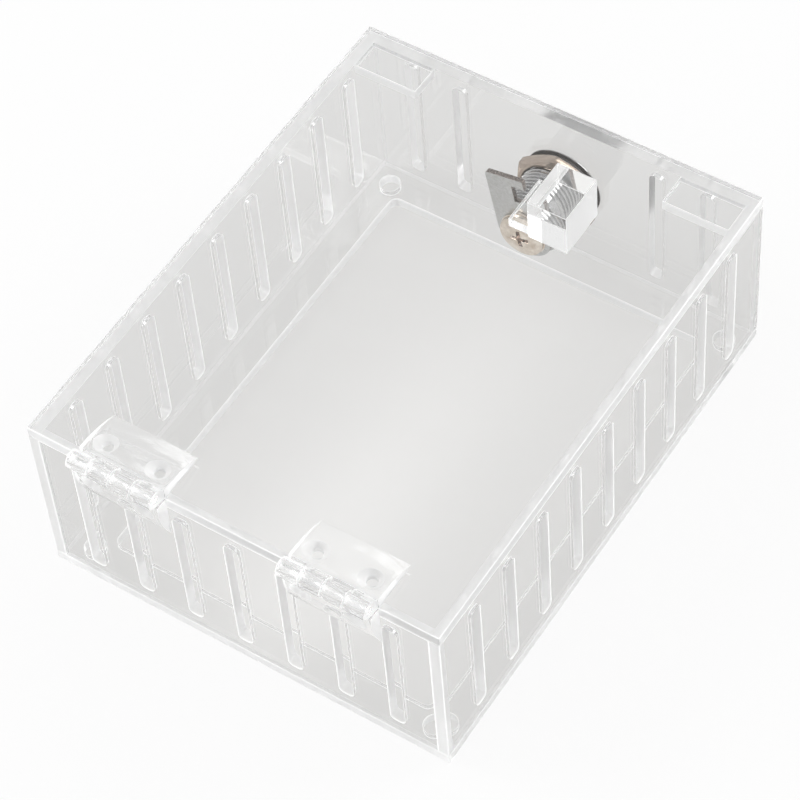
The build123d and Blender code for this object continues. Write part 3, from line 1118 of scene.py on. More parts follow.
    def build_corner_stop(self, side: int, node: str) -> None:
        """Small strip of sheet in a corner of the lock end.

        Args:
            side: -1 for the left corner and 1 for the right one.
            node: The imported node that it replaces.
        """
        low, high = (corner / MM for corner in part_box(node))
        low.x += min(side, 0) * BOND
        high.x += max(side, 0) * BOND
        high.y += BOND
        high.z -= self.lid_gap
        strip = Workbench.cuboid(node + "_sheet", tuple(low), tuple(high))
        self.finish_panel(strip, Body.BOX, node, Along.Z, lambda at: False, lit=True, lined=True)

    def build_lid(self) -> None:
        """Plain lid panel."""
        x, y = self.width / 2, self.length / 2
        low = (-x, self.hinge_clear - y, self.height - self.sheet)
        panel = Workbench.cuboid("lid_sheet", low, (x, y, self.height))
        self.finish_panel(panel, Body.LID, "lid_panel", Along.Z, lambda at: False, lit=True)

    def build(self) -> None:
        """Build every sheet panel."""
        self.build_base()
        places = self.row(self.side_slots, self.side_pitch)
        self.build_wall("side_wall_left", Along.Y, -1, places)
        self.build_wall("side_wall_right", Along.Y, 1, places)
        places = self.row(self.end_slots, self.end_pitch)
        self.build_wall("hinge_wall", Along.X, -1, places)
        self.build_wall("lock_wall", Along.X, 1, places[:2] + places[-2:], hole=True)
        self.build_corner_stop(-1, "corner_stop_left")
        self.build_corner_stop(1, "corner_stop_right")
        self.build_lid()


@dataclass
class Keeper(Assembly):
    """Glued block and tongue under the lid that the hook closes over."""

    ease: float = 0.16

    def build_part(self, node: str, step: Point, sawn: bool) -> None:
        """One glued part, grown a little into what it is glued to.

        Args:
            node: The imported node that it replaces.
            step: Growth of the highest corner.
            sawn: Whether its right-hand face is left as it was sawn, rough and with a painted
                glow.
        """
        low, high = (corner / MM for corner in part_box(node))
        part = Workbench.cuboid(node + "_cut", tuple(low), tuple(high + Vector(step)))
        finishes = (Finish.BLOCK, Finish.SAWN_PAINTED_GLOW_FACE, Finish.LINE_PAINTED_HIGHLIGHT, Finish.EDGE_FACE)
        # Its eased corners all get the painted highlight line.
        Workbench.ease_edges(part, self.ease, slot=finishes.index(Finish.LINE_PAINTED_HIGHLIGHT))
        # The right-hand face is rough as sawn with a painted glow; the left-hand face gets the
        # weaker painted glow of an edge face.
        tests = (
            (Finish.SAWN_PAINTED_GLOW_FACE, lambda centre, normal: sawn and normal.x > FACING),
            (Finish.EDGE_FACE, lambda centre, normal: normal.x < -FACING),
        )
        self.mark_faces(part, finishes, tests)
        self.file(part, Body.LID, "keeper_acrylic", finishes, node)

    def build(self) -> None:
        """Build the block and the tongue."""
        self.build_part("keeper_block", (0, 0, BOND), sawn=True)
        self.build_part("keeper_tongue", (BOND, 0, 0), sawn=False)


@dataclass
class Hinge(Assembly):
    """One clear moulded hinge: two crowned leaves and a pin."""

    name: str = "left"
    side: int = -1
    inset: float = 28.45
    span: float = 24.5
    knuckles: int = 4
    knuckle_gap: float = 0.3
    barrel: float = 5.0
    barrel_steps: int = 28
    stand_off: float = 3.2
    root_gap: float = 0.15
    web_lap: float = 0.02
    reach: float = 16.8
    root: float = 3.4
    middle: float = 2.75
    edge: float = 0.3
    crown_steps: int = 14
    screw_reach: float = 8.0
    screw_spacing: float = 15.0
    screw_hole: float = 3.0
    screw_steps: int = 48
    sink_floor: float = 1.5
    sink_past: float = 4.0
    hole_past: float = 3.0
    pin: float = 2.2
    pin_ease: float = 0.3
    pin_steps: int = 32
    bore_play: float = 0.05
    bore_sides: int = 40
    ease: float = 0.14
    ease_angle: float = 32.0
    end_margin: float = 0.2
    sunk_slope: float = 0.8
    barrel_margin: float = 0.05

    def leaf_outline(self) -> list[Flat]:
        """Section of a leaf's plate.

        Returns:
            Its corners, by reach from the pin and height above the leaf's face.
        """
        start = self.stand_off + self.root_gap
        middle = (start + self.reach) / 2
        crown = ((start, self.root), (middle, self.middle), (self.reach, self.edge))
        points = [(start, -BOND), (self.reach, -BOND)]
        for step in range(self.crown_steps + 1):
            along = start + (self.reach - start) * (1 - step / self.crown_steps)
            height = 0.0
            for own, (place, value) in enumerate(crown):
                others = [other for index, (other, _) in enumerate(crown) if index != own]
                share = math.prod(along - other for other in others)
                height += value * share / math.prod(place - other for other in others)
            points.append((along, height))
        return points

    def tangent(self, point: Flat, upper: bool) -> float:
        """Angle about the pin where a line from a corner of the plate meets the barrel.

        Args:
            point: The corner of the plate.
            upper: Whether the line runs over the barrel.

        Returns:
            The angle in radians.
        """
        along, above = point[0], point[1] - self.stand_off
        turn = math.acos(self.barrel / 2 / math.hypot(along, above))
        return math.atan2(above, along) + (turn if upper else -turn)

    def tab_outline(self) -> list[Flat]:
        """Section of a knuckle: the barrel and the web that joins it to the plate.

        Returns:
            Its corners, by reach from the pin and height above the leaf's face.
        """
        start = self.stand_off + self.root_gap + self.web_lap
        upper = self.tangent((start, self.root), True)
        lower = self.tangent((start, 0.0), False) + math.tau
        radius = self.barrel / 2
        points = [(start, 0.0), (start, self.root)]
        for step in range(self.barrel_steps + 1):
            angle = upper + (lower - upper) * step / self.barrel_steps
            across, above = radius * math.cos(angle), radius * math.sin(angle)
            points.append((across, self.stand_off + above))
        return points

    def moulded(self, name: str, low: float, span: float, outline: Sequence[Flat]) -> Piece:
        """Solid of one section along the pin.

        Args:
            name: Name of the piece.
            low: Its low end along the pin.
            span: Its length.
            outline: Its section.

        Returns:
            The piece.
        """
        piece = Workbench.drawn(name, [(low, along, above) for along, above in outline])
        Workbench.pull(piece, (span, 0, 0))
        return piece

    def build_leaf(self, first_knuckle: int) -> Piece:
        """Leaf on its back, the pin along X, the reach along Y and its face at zero height.

        Args:
            first_knuckle: The first of its knuckles, counted from the low end.

        Returns:
            The leaf.
        """
        half = self.span / 2
        leaf = self.moulded("leaf", -half, self.span, self.leaf_outline())
        places = (-self.screw_spacing / 2, self.screw_spacing / 2)
        cutters = [self.screw_cutter(place) for place in places]
        Workbench.combine(leaf, cutters, Combining.TAKE)
        pitch = self.span / self.knuckles
        tabs = []
        for knuckle in range(first_knuckle, self.knuckles, 2):
            low = -half + knuckle * pitch + self.knuckle_gap / 2
            tabs.append(self.moulded("tab", low, pitch - self.knuckle_gap, self.tab_outline()))
        Workbench.combine(leaf, tabs, Combining.ADD)
        bore = Workbench.rod(
            "bore_cutter", (0, 0, self.stand_off), Along.X,
            self.pin / 2 + self.bore_play, 2 * self.span, self.bore_sides,
        )
        Workbench.combine(leaf, [bore], Combining.TAKE)
        Workbench.ease_edges(leaf, self.ease, self.ease_angle)
        self.mark_leaf(leaf)
        return leaf

    @staticmethod
    def leaf_finishes() -> tuple[Finish, ...]:
        """Finishes of a leaf in the order of its slots."""
        return (
            Finish.MOULDING, Finish.MOULDED_END, Finish.SUNK_FACE, Finish.KNUCKLE_FACE,
            Finish.BARREL_SKIN,
        )

    def mark_leaf(self, leaf: Piece) -> None:
        """Mark the faces of a leaf on its back.

        Args:
            leaf: The leaf.
        """
        low_end = self.end_margin - self.span / 2
        sink = self.screw_hole / 2 + self.root

        def is_end(centre: Vector, normal: Vector) -> bool:
            """Whether a face is at the leaf's low end."""
            return normal.x < -FACING and centre.x < low_end

        def is_knuckle(centre: Vector, normal: Vector) -> bool:
            """Whether a face looks along the pin."""
            return abs(normal.x) > FACING

        def is_sunk(centre: Vector, normal: Vector) -> bool:
            """Whether a face lies in a screw hole or its countersink."""
            across, along = abs(centre.x) - self.screw_spacing / 2, centre.y - self.screw_reach
            return math.hypot(across, along) < sink and abs(normal.z) < self.sunk_slope

        def is_barrel(centre: Vector, normal: Vector) -> bool:
            """Whether a face is the round outside of a knuckle."""
            radius = math.hypot(centre.y, centre.z - self.stand_off)
            return radius < self.barrel / 2 + self.barrel_margin

        # The low end, the knuckle faces and the countersinks get finishes with a strong painted
        # glow.
        tests = (
            (Finish.MOULDED_END, is_end), (Finish.KNUCKLE_FACE, is_knuckle),
            (Finish.SUNK_FACE, is_sunk), (Finish.BARREL_SKIN, is_barrel),
        )
        self.mark_faces(leaf, self.leaf_finishes(), tests)

    def screw_cutter(self, place: float) -> Piece:
        """Cutter for one screw hole and its countersink.

        Args:
            place: The hole's place along the pin.

        Returns:
            The cutter, turned round the hole's axis.
        """
        hole, top = self.screw_hole / 2, self.sink_floor + self.sink_past
        profile = (
            (0.0, -self.hole_past), (hole, -self.hole_past), (hole, self.sink_floor),
            (hole + self.sink_past, top), (0.0, top),
        )
        points = [(place + across, self.screw_reach, above) for across, above in profile]
        cutter = Workbench.drawn("screw_cutter", points, closed=False)
        Workbench.spin(cutter, (place, self.screw_reach, 0), Along.Z, self.screw_steps)
        return cutter

    def build_pin(self) -> Piece:
        """Pin with eased ends, turned round its own axis.

        Returns:
            The pin.
        """
        half, radius, ease = self.span / 2, self.pin / 2, self.pin_ease
        profile = (
            (-half, 0.0), (-half, radius - ease), (ease - half, radius),
            (half - ease, radius), (half, radius - ease), (half, 0.0),
        )
        points = [(along, 0, self.stand_off + across) for along, across in profile]
        pin = Workbench.drawn("pin", points, closed=False)
        Workbench.spin(pin, (0, 0, self.stand_off), Along.X, self.pin_steps)
        return pin

    def build(self) -> None:
        """Build both leaves and the pin and put them in place."""
        x = self.side * (self.width / 2 - self.inset)
        place = (x, -self.length / 2 - self.stand_off, self.height)
        stem = "hinge_" + self.name

        lid_leaf = self.build_leaf(1)
        lid_leaf.name = stem + "_upper_leaf"
        Workbench.shift(lid_leaf, place)
        body_leaf = self.build_leaf(0)
        body_leaf.name = stem + "_lower_leaf"
        self.hang_on_wall(body_leaf, x)
        for leaf, body in ((lid_leaf, Body.LID), (body_leaf, Body.BOX)):
            node = stem + ("_lid_leaf" if body is Body.LID else "_body_leaf")
            Workbench.smooth(leaf)
            self.file(leaf, body, "clear_moulding", self.leaf_finishes(), node)

        pin = self.build_pin()
        pin.name = stem + "_clear_pin"
        Workbench.shift(pin, place)
        Workbench.smooth(pin)
        self.file(pin, Body.BOX, "clear_moulding", (Finish.MOULDING,), stem + "_pin")

    def hang_on_wall(self, leaf: Piece, x: float) -> None:
        """Turn a leaf so that it hangs down the outside of the hinge wall.

        Args:
            leaf: The leaf on its back.
            x: Middle of the hinge along the wall.
        """
        Workbench.turn(leaf, (0, 0, 0), Along.X, 90.0)
        leaf.scale.z = -1.0
        leaf.location = Vector((x, -self.length / 2, self.height + self.stand_off)) * MM
        Workbench.settle(leaf)


@dataclass
class CamLock(Assembly):
    """Cam lock in the end wall: flange, threaded body, nut, hook cam, washer and screw."""

    rest_lean: float = 10.03
    turned_steps: int = 72
    flange: float = 22.2
    flange_thickness: float = 2.2
    flange_lip: float = 0.3
    flange_face: float = 17.4
    flange_steps: int = 8
    face_ease: float = 0.2
    rim_ease: float = 0.1
    bulge: float = 0.18
    bulge_out: float = 0.6
    bulge_forward: float = 0.5
    body: float = 18.8
    body_depth: float = 18.85
    body_ease: float = 0.4
    thread_depth: float = 0.55
    thread_pitch: float = 1.25
    thread_start: float = 0.35
    thread_end: float = 0.5
    thread_sink: float = 0.15
    thread_lead: float = 0.03
    thread_rise: float = 0.2
    thread_gap: float = 0.3
    thread_play: float = 0.02
    thread_steps: int = 56
    head_bore: float = 14.9
    head_bore_depth: float = 1.45
    head_bore_ease: float = 0.15
    bore: float = 12.5
    nut_flats: float = 21.5
    nut_near: float = 3.0
    nut_thickness: float = 4.0
    nut_crown: float = 30.0  # degrees
    nut_relief: float = 0.05
    nut_past: float = 0.5
    nut_skin: float = 0.001
    nut_mouth: float = 0.5
    mouth_past: float = 0.1
    nut_ease: float = 0.12
    nut_ease_angle: float = 20.0
    cam_back: float = 19.8
    cam_thickness: float = 1.5
    cam_width: float = 16.0
    cam_reach: float = 19.5
    cam_end_steps: int = 40
    cam_corner: float = 1.0
    cam_corner_steps: int = 6
    cam_ease: float = 0.16
    tip_corner: float = 0.4
    tip_corner_steps: int = 5
    hook_tip: float = 3.4
    notch_end: float = -0.4
    notch_outer: float = 16.7111
    notch_outer_steps: int = 8
    notch_inner: float = 11.3769
    notch_inner_steps: int = 24
    tail: float = 7.1
    tail_past: float = 4.0
    washer: float = 13.2
    washer_thickness: float = 0.6
    washer_play: float = 0.05
    washer_ease: float = 0.18
    head: float = 12.6
    head_rim: float = 1.1
    head_crown: float = 0.8
    head_seat_ease: float = 0.15
    head_brow: float = 0.2
    head_round: Flat = (0.07, 0.05)
    head_steps: int = 12
    head_ease: float = 0.1
    head_ease_angle: float = 50.0
    shank: float = 4.0
    shank_length: float = 9.0
    shank_ease: float = 0.4
    recess_width: float = 1.5
    recess_span: float = 7.0
    recess_depth: float = 1.5
    recess_taper: float = 0.5
    recess_past: float = 1.0
    recess_margin: float = 0.05
    recess_slope: float = 0.6
    smooth_angle: float = 32.0
    washer_smooth_angle: float = 40.0

    def place(self, across: float, up: float, depth: float) -> Point:
        """Point of the box from a place across, above and along the lock's axis."""
        return (self.lock_x + across, self.length / 2 - depth, self.height / 2 + up)

    def turned(self, name: str, profile: Sequence[Flat], closed: bool) -> Piece:
        """Turned piece from a profile of radius and depth.

        Args:
            name: Name of the piece.
            profile: Radius and depth of each point.
            closed: Whether the profile is a ring that does not touch the axis.

        Returns:
            The turned piece.
        """
        points = [self.place(0, radius, depth) for radius, depth in profile]
        if closed:
            points.append(points[0])
        piece = Workbench.drawn(name, points, closed=False)
        Workbench.settle(piece)
        Workbench.spin(piece, self.place(0, 0, 0), Along.Y, self.turned_steps)
        return piece

    @staticmethod
    def arc(radius: float, centre: Flat, start: float, end: float, steps: int) -> list[Flat]:
        """Points of an arc.

        Args:
            radius: Radius of the arc.
            centre: Its centre.
            start: First angle in degrees.
            end: Last angle in degrees.
            steps: Number of steps.

        Returns:
            The points.
        """
        points = []
        for step in range(steps + 1):
            angle = math.radians(start + (end - start) * step / steps)
            across, up = radius * math.cos(angle), radius * math.sin(angle)
            points.append((centre[0] + across, centre[1] + up))
        return points

    def build_housing(self) -> None:
        """Flange outside the wall and the threaded body through it."""
        outer, face = self.flange / 2, self.flange_face / 2
        front, back = -self.flange_thickness, self.body_depth
        root = self.body / 2 - self.thread_depth
        mouth, seat = self.head_bore / 2, front + self.head_bore_depth
        rim, ease = self.rim_ease, self.body_ease
        profile = [(mouth, front + self.head_bore_ease), (mouth + self.head_bore_ease, front)]
        for step in range(self.flange_steps + 1):
            share = step / self.flange_steps
            bulge = self.bulge * math.sin(math.pi * share)
            radius = face - self.face_ease + (outer - face + rim) * share
            depth = front + (self.flange_thickness - self.flange_lip) * share
            forward = bulge * self.bulge_forward * share
            profile.append((radius + bulge * self.bulge_out, depth - forward))
        profile += [(outer, -self.flange_lip + rim), (outer, -rim), (outer - rim, 0.0)]
        profile += [(root, 0.0), (root, back - ease), (root - ease, back)]
        profile += [(self.bore / 2, back), (self.bore / 2, seat), (mouth, seat)]
        barrel = self.turned("lock_barrel", profile, closed=True)
        housing = Workbench.join([barrel, self.build_ridge(root)])
        Workbench.smooth(housing, self.smooth_angle)
        self.file(housing, Body.BOX, "dark_chrome", (Finish.CHROME,), "lock_housing")

    def build_ridge(self, root: float) -> Piece:
        """Ridge of the thread, wound round the body.

        Args:
            root: Radius of the body between the ridges.

        Returns:
            The ridge.
        """
        crest, foot = self.body / 2 - self.thread_play, root - self.thread_sink
        start, half = self.thread_start, self.thread_pitch / 2
        end = start + 2 * half - self.thread_gap
        section = (
            (foot, start), (root, start + self.thread_lead),
            (crest, start + half - self.thread_rise), (crest, start + half),
            (root, end), (foot, end + self.thread_lead),
        )
        points = [self.place(0, radius, depth) for radius, depth in section]
        ridge = Workbench.drawn("thread_ridge", points + [points[0]], closed=False)
        Workbench.settle(ridge)
        Workbench.shift(ridge, tuple(-value for value in self.place(0, 0, 0)))
        turns = int((self.body_depth - start - self.thread_end) / self.thread_pitch) - 1
        Workbench.modify(
            ridge, "SCREW", axis="Y", angle=math.tau, screw_offset=-self.thread_pitch * MM,
            iterations=turns, steps=self.thread_steps, render_steps=self.thread_steps,
            use_smooth_shade=False,
        )
        with Workbench.editing(ridge):
            bpy.ops.mesh.fill_holes(sides=len(section))
        Workbench.shift(ridge, self.place(0, 0, 0))
        Workbench.settle(ridge)
        return ridge

    def build_nut(self) -> None:
        """Hexagon nut with its corners turned off on both sides."""
        near, far = self.nut_near, self.nut_near + self.nut_thickness
        corner = self.nut_flats / 2 / math.cos(math.pi / 6)
        middle = self.place(0, 0, near + self.nut_thickness / 2)
        nut = Workbench.rod("hexagon_nut", middle, Along.Y, corner, self.nut_thickness, sides=6)
        flat, wide = self.nut_flats / 2 - self.nut_relief, corner + self.nut_past
        drop = (wide - flat) * math.tan(math.radians(self.nut_crown))
        low, high = near - self.nut_skin, far + self.nut_skin
        crown = (
            (0.0, low), (flat, low), (wide, near + drop),
            (wide, far - drop), (flat, high), (0.0, high),
        )
        cutter = self.turned("nut_crown", crown, closed=False)
        Workbench.combine(nut, [cutter], Combining.SHARE)
        thread = self.body / 2 + self.thread_play
        mouth, past = self.nut_mouth, self.mouth_past
        bore = (
            (0.0, 0.0), (thread + mouth, 0.0), (thread + mouth, near), (thread, near + mouth),
            (thread, far - mouth), (thread + mouth + past, far + past), (0.0, far + past),
        )
        Workbench.combine(nut, [self.turned("nut_bore", bore, closed=False)], Combining.TAKE)
        Workbench.ease_edges(nut, self.nut_ease, self.nut_ease_angle)
        Workbench.smooth(nut)
        self.file(nut, Body.BOX, "nut_nickel", (Finish.NUT,), "lock_nut")

    def cam_outline(self) -> list[Flat]:
        """Outline of the hook cam.

        Returns:
            Its corners, across and above the lock's axis.
        """
        half, axis = self.cam_width / 2, (0, 0)
        corner, corner_steps = self.cam_corner, self.cam_corner_steps
        tip, tip_steps = self.tip_corner, self.tip_corner_steps

        def angle_at(radius: float, across: float) -> float:
            """Angle of a point of a circle about the axis, in degrees."""
            return math.degrees(math.acos(across / radius))

        points = self.arc(half, axis, 0, -180, self.cam_end_steps)
        centre = (corner - half, self.cam_reach - corner)
        points += self.arc(corner, centre, 180, 90, corner_steps)
        centre = (self.hook_tip - tip, self.cam_reach - tip)
        points += self.arc(tip, centre, 90, 0, tip_steps)
        for radius, first, last, steps in (
            (self.notch_outer, self.hook_tip, self.notch_end, self.notch_outer_steps),
            (self.notch_inner, self.notch_end, half, self.notch_inner_steps),
        ):
            start, end = angle_at(radius, first), angle_at(radius, last)
            points += self.arc(radius, axis, start, end, steps)
        return points

    def lean(self, piece: Piece) -> None:
        """Lean a piece that turns with the key by the rest angle."""
        Workbench.turn(piece, self.place(0, 0, 0), Along.Y, -self.rest_lean)

    def build_cam(self) -> None:
        """Stamped hook cam with its square hole."""
        points = [self.place(across, up, self.cam_back) for across, up in self.cam_outline()]
        cam = Workbench.drawn("hook_cam", points)
        Workbench.pull(cam, (0, -self.cam_thickness, 0))
        half = self.tail / 2
        low = self.place(-half, -half, self.cam_back + self.tail_past)
        high = self.place(half, half, self.cam_back - self.tail_past)
        cutter = Workbench.cuboid("tail_cutter", low, high)
        Workbench.combine(cam, [cutter], Combining.TAKE)
        finishes = (Finish.CAM, Finish.CAM_SIDE)
        tests = ((Finish.CAM_SIDE, lambda centre, normal: abs(normal.y) < ACROSS),)
        self.mark_faces(cam, finishes, tests)
        Workbench.ease_edges(cam, self.cam_ease, self.smooth_angle)
        self.lean(cam)
        Workbench.smooth(cam, self.smooth_angle)
        self.file(cam, Body.LOCK_CORE, "cam_zinc", finishes, "cam")

    def build_washer(self) -> None:
        """Flat washer with rounded rims under the screw."""
        near = self.cam_back + self.cam_thickness
        far = near + self.washer_thickness
        outer, inner = self.washer / 2, self.shank / 2 + self.washer_play
        ease = self.washer_ease
        profile = (
            (inner, near), (outer - ease, near), (outer, near + ease),
            (outer, far - ease), (outer - ease, far), (inner, far),
        )
        washer = self.turned("screw_washer", profile, closed=True)
        self.lean(washer)
        Workbench.smooth(washer, self.washer_smooth_angle)
        self.file(washer, Body.LOCK_CORE, "screw_nickel", (Finish.SCREW,), "cam_washer")

    def head_profile(self) -> list[Flat]:
        """Profile of the screw's shank, rim and crowned top.

        Returns:
            Radius and depth of each point, the top of the crown last.
        """
        seat = self.cam_back + self.cam_thickness + self.washer_thickness
        half, shank = self.head / 2, self.shank / 2
        tip, rim = seat - self.shank_length, seat + self.head_rim
        top = rim + self.head_crown
        dome = (half**2 + self.head_crown**2) / (2 * self.head_crown)
        profile = [(0.0, tip), (shank - self.shank_ease, tip), (shank, tip + self.shank_ease)]
        ease, brow = self.head_seat_ease, self.head_brow
        profile += [(shank, seat), (half - ease, seat), (half, seat + ease)]
        profile += [(half, rim - brow), (half - self.head_round[0], rim - self.head_round[1])]
        for step in range(1, self.head_steps + 1):
            across = (half - brow) * (1 - step / self.head_steps)
            profile.append((across, top - dome + math.sqrt(dome**2 - across**2)))
        return profile

    def recess_arms(self, top: float) -> list[Piece]:
        """Two crossed arms of the recess, narrower at the bottom.

        Args:
            top: Depth of the screw's top along the lock's axis.

        Returns:
            The arms.
        """
        narrow, wide = self.recess_width / 2, self.recess_span / 2
        floor = self.place(0, 0, top - self.recess_depth)
        arms = []
        for across, up in ((wide, narrow), (narrow, wide)):
            low = self.place(-across, -up, top + self.recess_past)
            high = self.place(across, up, top - self.recess_depth)
            arm = Workbench.cuboid("recess_arm", low, high)
            with Workbench.picking(
                arm, faces=lambda face: face.calc_center_median().y > floor[1] * MM - WELD
            ):
                bpy.ops.transform.resize(
                    value=(self.recess_taper, 1.0, self.recess_taper),
                    center_override=Vector(floor) * MM,
                )
            arms.append(arm)
        return arms

    def build_screw(self) -> None:
        """Low crowned screw with a cross recess."""
        profile = self.head_profile()
        top = profile[-1][1]
        head = self.turned("crowned_screw", profile, closed=False)
        arms = self.recess_arms(top)
        Workbench.combine(arms[0], arms[1:], Combining.ADD)
        Workbench.combine(head, arms[:1], Combining.TAKE)
        reach = self.recess_span / 2 + self.recess_margin
        floor = self.length / 2 - top + self.recess_depth

        def is_recess(centre: Vector, normal: Vector) -> bool:
            """Whether a face is a wall of the cross recess or its floor.

            Args:
                centre: The face's centre.
                normal: Its normal.

            Returns:
                Whether it is.
            """
            radius = math.hypot(centre.x - self.lock_x, centre.z - self.height / 2)
            inside = radius < reach and centre.y < floor + self.recess_margin
            steep = abs(normal.y) < self.recess_slope
            return inside and (steep or centre.y > floor - self.recess_margin)

        # The recess walls and floor get painted shade with painted copper glints.
        finishes = (Finish.SCREW, Finish.CROSS_PAINTED_SHADE_GLINT)
        self.mark_faces(head, finishes, ((Finish.CROSS_PAINTED_SHADE_GLINT, is_recess),))
        Workbench.ease_edges(head, self.head_ease, self.head_ease_angle)
        self.lean(head)
        Workbench.smooth(head)
        self.file(head, Body.LOCK_CORE, "screw_nickel", finishes, "cam_screw")

    def dress_hidden(self) -> None:
        """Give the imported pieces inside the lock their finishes."""
        choices = {
            "lock_plug": Finish.PLUG,
            "stop_washer": Finish.CAM,
            "wafer_tumblers": Finish.BRASS,
            "wafer_springs": Finish.WIRE,
        }
        for name, finish in choices.items():
            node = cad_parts[name]
            node.data.materials.clear()
            self.finishes.dress(node, (finish,))
            LOG.info("%s: packed shape kept", name)

    def build(self) -> None:
        """Build the lock."""
        self.build_housing()
        self.build_nut()
        self.build_cam()
        self.build_washer()
        self.build_screw()
        self.dress_hidden()


# Studio


@dataclass(frozen=True)
class SoftLamp:
    """Square soft lamp that looks at the box. Its places and size are in metres."""

    name: str
    place: Point
    size: float
    power: float
    aim: Point = (0.0, 0.0, 0.03)

    def light(self) -> None:
        """Hang the lamp and point it at the middle of the box."""
        lamp = bpy.data.lights.new(self.name, "AREA")
        lamp.shape = "SQUARE"
        lamp.size = self.size
        lamp.energy = self.power
        hung = bpy.data.objects.new(self.name, lamp)
        bpy.context.collection.objects.link(hung)
        hung.location = self.place
        look = Vector(self.aim) - Vector(self.place)
        hung.rotation_euler = look.to_track_quat("-Z", "Y").to_euler()


@dataclass
class Studio:
    """Pale floor with a painted shadow and a painted pool of light under the box, soft light and
    the camera. Places and sizes are in metres.
    """

    floor_side: float = 6.0
    floor_drop: float = 0.0004
    floor_tone: float = 0.88
    seen_glow: float = 0.9
    through_glow: float = 0.7
    # Painted shade: outside the box, the floor seen in clear sheet or shiny metal glows a darker
    # grey than when seen straight.
    painted_through_shade: float = 0.7
    # Painted shadow of the box on the floor under it, and a painted pool of light across its
    # middle.
    painted_shadow_tone: float = 0.83
    painted_light_tone: float = 0.99
    tint: Point = (1.0, 0.991, 0.974)
    painted_light_place: Point = (-0.001, -0.06, 0.0)
    painted_light_reach: Point = (0.023, 0.111, 1.0)
    box_reach: Flat = (0.0575, 0.0742)
    lens: float = 145.872
    sensor: float = 36.0
    nearest: float = 0.01
    camera_place: Point = (0.2928826, -0.3899038, 0.6723452)
    camera_aim: Point = (0.001869, -0.006590, 0.0275)
    camera_roll: float = -5.470
    light_paths: int = 40
    card_side: float = 0.2
    card_behind: float = 0.05
    card_tone: float = 0.02
    sky: tuple[Flat, ...] = ((0.0, 0.9), (0.12, 0.85), (0.4, 0.6), (0.72, 0.72), (1.0, 0.8))
    lamps: tuple[SoftLamp, ...] = (
        SoftLamp("key_lamp", (-1.3, -0.5, 1.3), 0.9, 11.0),
        SoftLamp("fill_lamp", (1.0, 1.1, 1.2), 0.8, 7.0),
    )

    def place_camera(self) -> None:
        """Stand the camera where the photograph was taken from."""
        data = bpy.data.cameras.new("camera")
        data.lens = self.lens
        data.sensor_width = self.sensor
        data.clip_start = self.nearest
        camera = bpy.data.objects.new("camera", data)
        bpy.context.collection.objects.link(camera)
        look = Vector(self.camera_aim) - Vector(self.camera_place)
        facing = look.to_track_quat("-Z", "Y").to_matrix().to_4x4()
        roll = Matrix.Rotation(math.radians(self.camera_roll), 4, "Z")
        camera.matrix_world = Matrix.Translation(self.camera_place) @ facing @ roll
        bpy.context.scene.camera = camera

    def hang_dark_card(self) -> None:
        """Dark card behind the camera, which square corners mirror back."""
        Workbench.clear_selection()
        look = Vector(self.camera_aim) - Vector(self.camera_place)
        place = Vector(self.camera_place) - look.normalized() * self.card_behind
        turn = look.to_track_quat("-Z", "Y").to_euler()
        bpy.ops.mesh.primitive_plane_add(size=self.card_side, location=place, rotation=turn)
        card = bpy.context.object
        card.name = "dark_card"
        card.visible_camera = False
        card.visible_diffuse = False
        card.visible_shadow = False
        made, nodes = bare_material("dark_card")
        cloth = nodes.add("ShaderNodeBsdfDiffuse", {"Color": grey(self.card_tone)})
        nodes.surface(cloth.outputs["BSDF"])
        card.data.materials.append(made)

    def lay_floor(self) -> None:
        """Lay the floor, which glows a little to the camera and through clear sheet, with a
        painted shadow and a painted pool of light under the box and painted shade where clear
        sheet shows it outside the box.
        """
        Workbench.clear_selection()
        bpy.ops.mesh.primitive_plane_add(size=self.floor_side, location=(0, 0, -self.floor_drop))
        floor = bpy.context.object
        floor.name = "studio_floor"
        made, nodes = bare_material("studio_floor")
        path = nodes.add("ShaderNodeLightPath").outputs
        place = nodes.place()
        inside = self.inside_mask(nodes, place)
        outside = nodes.math("ADD", nodes.math("MULTIPLY", inside, -1.0), 1.0)
        bare = nodes.math("MULTIPLY", path["Is Camera Ray"], outside)
        # Painted shadow and pool of light under the box; outside it, painted shade where clear
        # sheet shows the floor.
        pool = self.painted_shadow_and_light(nodes, place)
        under = nodes.blend(inside, self.tinted(self.painted_through_shade), pool)
        tone = nodes.blend(bare, under, grey(1.0))
        bent = nodes.math("MAXIMUM", path["Is Glossy Ray"], path["Is Transmission Ray"])
        bent = nodes.math("MAXIMUM", bent, path["Is Camera Ray"])
        bent = nodes.math("MULTIPLY", bent, self.through_glow)
        share = nodes.math("MAXIMUM", nodes.math("MULTIPLY", bare, self.seen_glow), bent)
        paper = nodes.add("ShaderNodeBsdfDiffuse", {"Color": grey(self.floor_tone)})
        glow = nodes.add("ShaderNodeEmission", {"Color": tone, "Strength": 1.0})
        feeds = {"Fac": share, 1: paper.outputs["BSDF"], 2: glow.outputs["Emission"]}
        nodes.surface(nodes.add("ShaderNodeMixShader", feeds).outputs["Shader"])
        floor.data.materials.append(made)

    def tinted(self, tone: float) -> Colour:
        """Faintly warm colour of a tone."""
        return tuple(tone * share for share in self.tint) + (1.0,)

    def inside_mask(self, nodes: Nodes, place: Socket) -> Socket:
        """Mask of the floor under the box, where the painted shadow and pool of light go.

        Args:
            nodes: Helper of the floor's tree.
            place: Place on the floor.

        Returns:
            One under the box and zero elsewhere.
        """
        split = nodes.add("ShaderNodeSeparateXYZ", {"Vector": place})
        shares = []
        for name, reach in zip(("X", "Y"), self.box_reach):
            size = nodes.math("ABSOLUTE", split.outputs[name])
            shares.append(nodes.math("LESS_THAN", size, reach))
        return nodes.math("MULTIPLY", shares[0], shares[1])

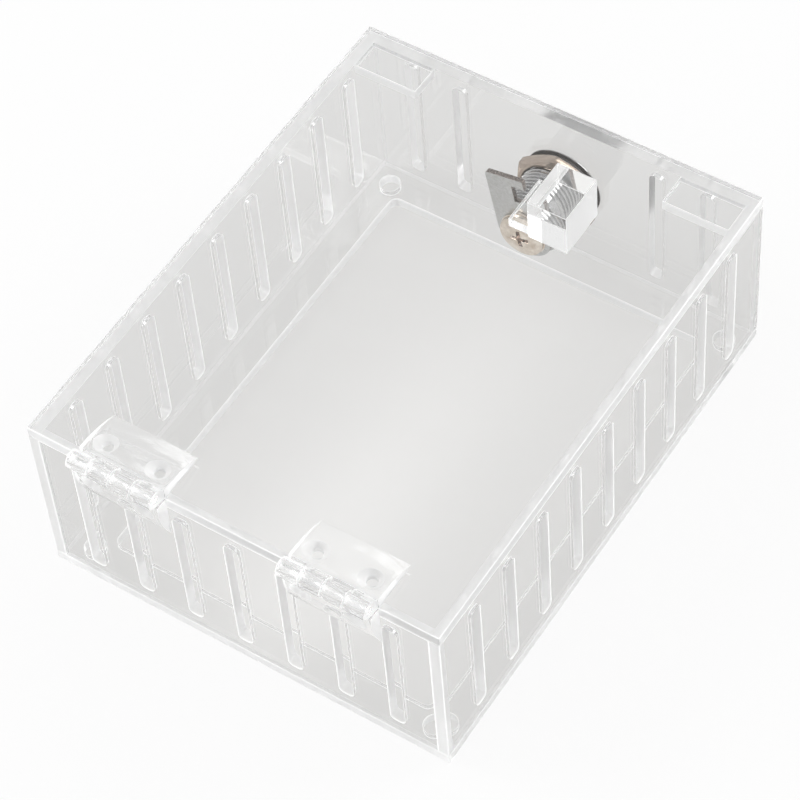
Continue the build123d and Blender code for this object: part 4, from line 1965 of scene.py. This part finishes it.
    def painted_shadow_and_light(self, nodes: Nodes, place: Socket) -> Socket:
        """Painted shadow of the box on the floor under it, with a soft painted pool of light
        across its middle.

        Args:
            nodes: Helper of the floor's tree.
            place: Place on the floor.

        Returns:
            The colour.
        """
        feeds = {"Vector": place, "Location": self.painted_light_place, "Scale": self.painted_light_reach}
        scaled = nodes.add("ShaderNodeMapping", feeds, vector_type="TEXTURE")
        feeds = {0: scaled.outputs["Vector"]}
        away = nodes.add("ShaderNodeVectorMath", feeds, operation="LENGTH").outputs["Value"]
        falling = nodes.math("MULTIPLY", nodes.math("MULTIPLY", away, away), -1.0)
        share = nodes.math("EXPONENT", falling)
        return nodes.blend(share, self.tinted(self.painted_shadow_tone), self.tinted(self.painted_light_tone))

    def light_world(self) -> None:
        """Soft room: pale at the horizon, darker above it and bright overhead."""
        world = bpy.data.worlds.new("studio_room")
        bpy.context.scene.world = world
        world.use_nodes = True
        nodes = Nodes(world.node_tree)
        way = nodes.add("ShaderNodeTexCoord")
        split = nodes.add("ShaderNodeSeparateXYZ", {"Vector": way.outputs["Generated"]})
        ramp = nodes.add("ShaderNodeValToRGB", {"Fac": split.outputs["Z"]})
        stops = ramp.color_ramp.elements
        stops[0].position = self.sky[0][0]
        stops[1].position = self.sky[-1][0]
        for height, _ in self.sky[1:-1]:
            stops.new(height)
        for stop, (_, tone) in zip(stops, self.sky):
            stop.color = grey(tone)
        glow = nodes.add("ShaderNodeBackground", {"Color": ramp.outputs["Color"]})
        nodes.add("ShaderNodeOutputWorld", {"Surface": glow.outputs["Background"]})

    def build(self) -> None:
        """Set up the whole studio."""
        self.place_camera()
        self.hang_dark_card()
        self.lay_floor()
        self.light_world()
        for lamp in self.lamps:
            lamp.light()
        bpy.context.scene.view_settings.view_transform = "Standard"
        paths = bpy.context.scene.cycles
        paths.max_bounces = self.light_paths
        paths.transmission_bounces = self.light_paths
        paths.glossy_bounces = self.light_paths


def main() -> None:
    """Build the studio and every sub-assembly in order."""
    logging.basicConfig(level=logging.INFO, format="%(name)s: %(message)s")
    Studio().build()
    finishes = Finishes()
    SheetBox(finishes).build()
    Keeper(finishes).build()
    Hinge(finishes, name="left", side=-1).build()
    Hinge(finishes, name="right", side=1).build()
    CamLock(finishes).build()
    Workbench.clear_selection()
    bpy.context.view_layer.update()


if __name__ == "__main__":
    main()
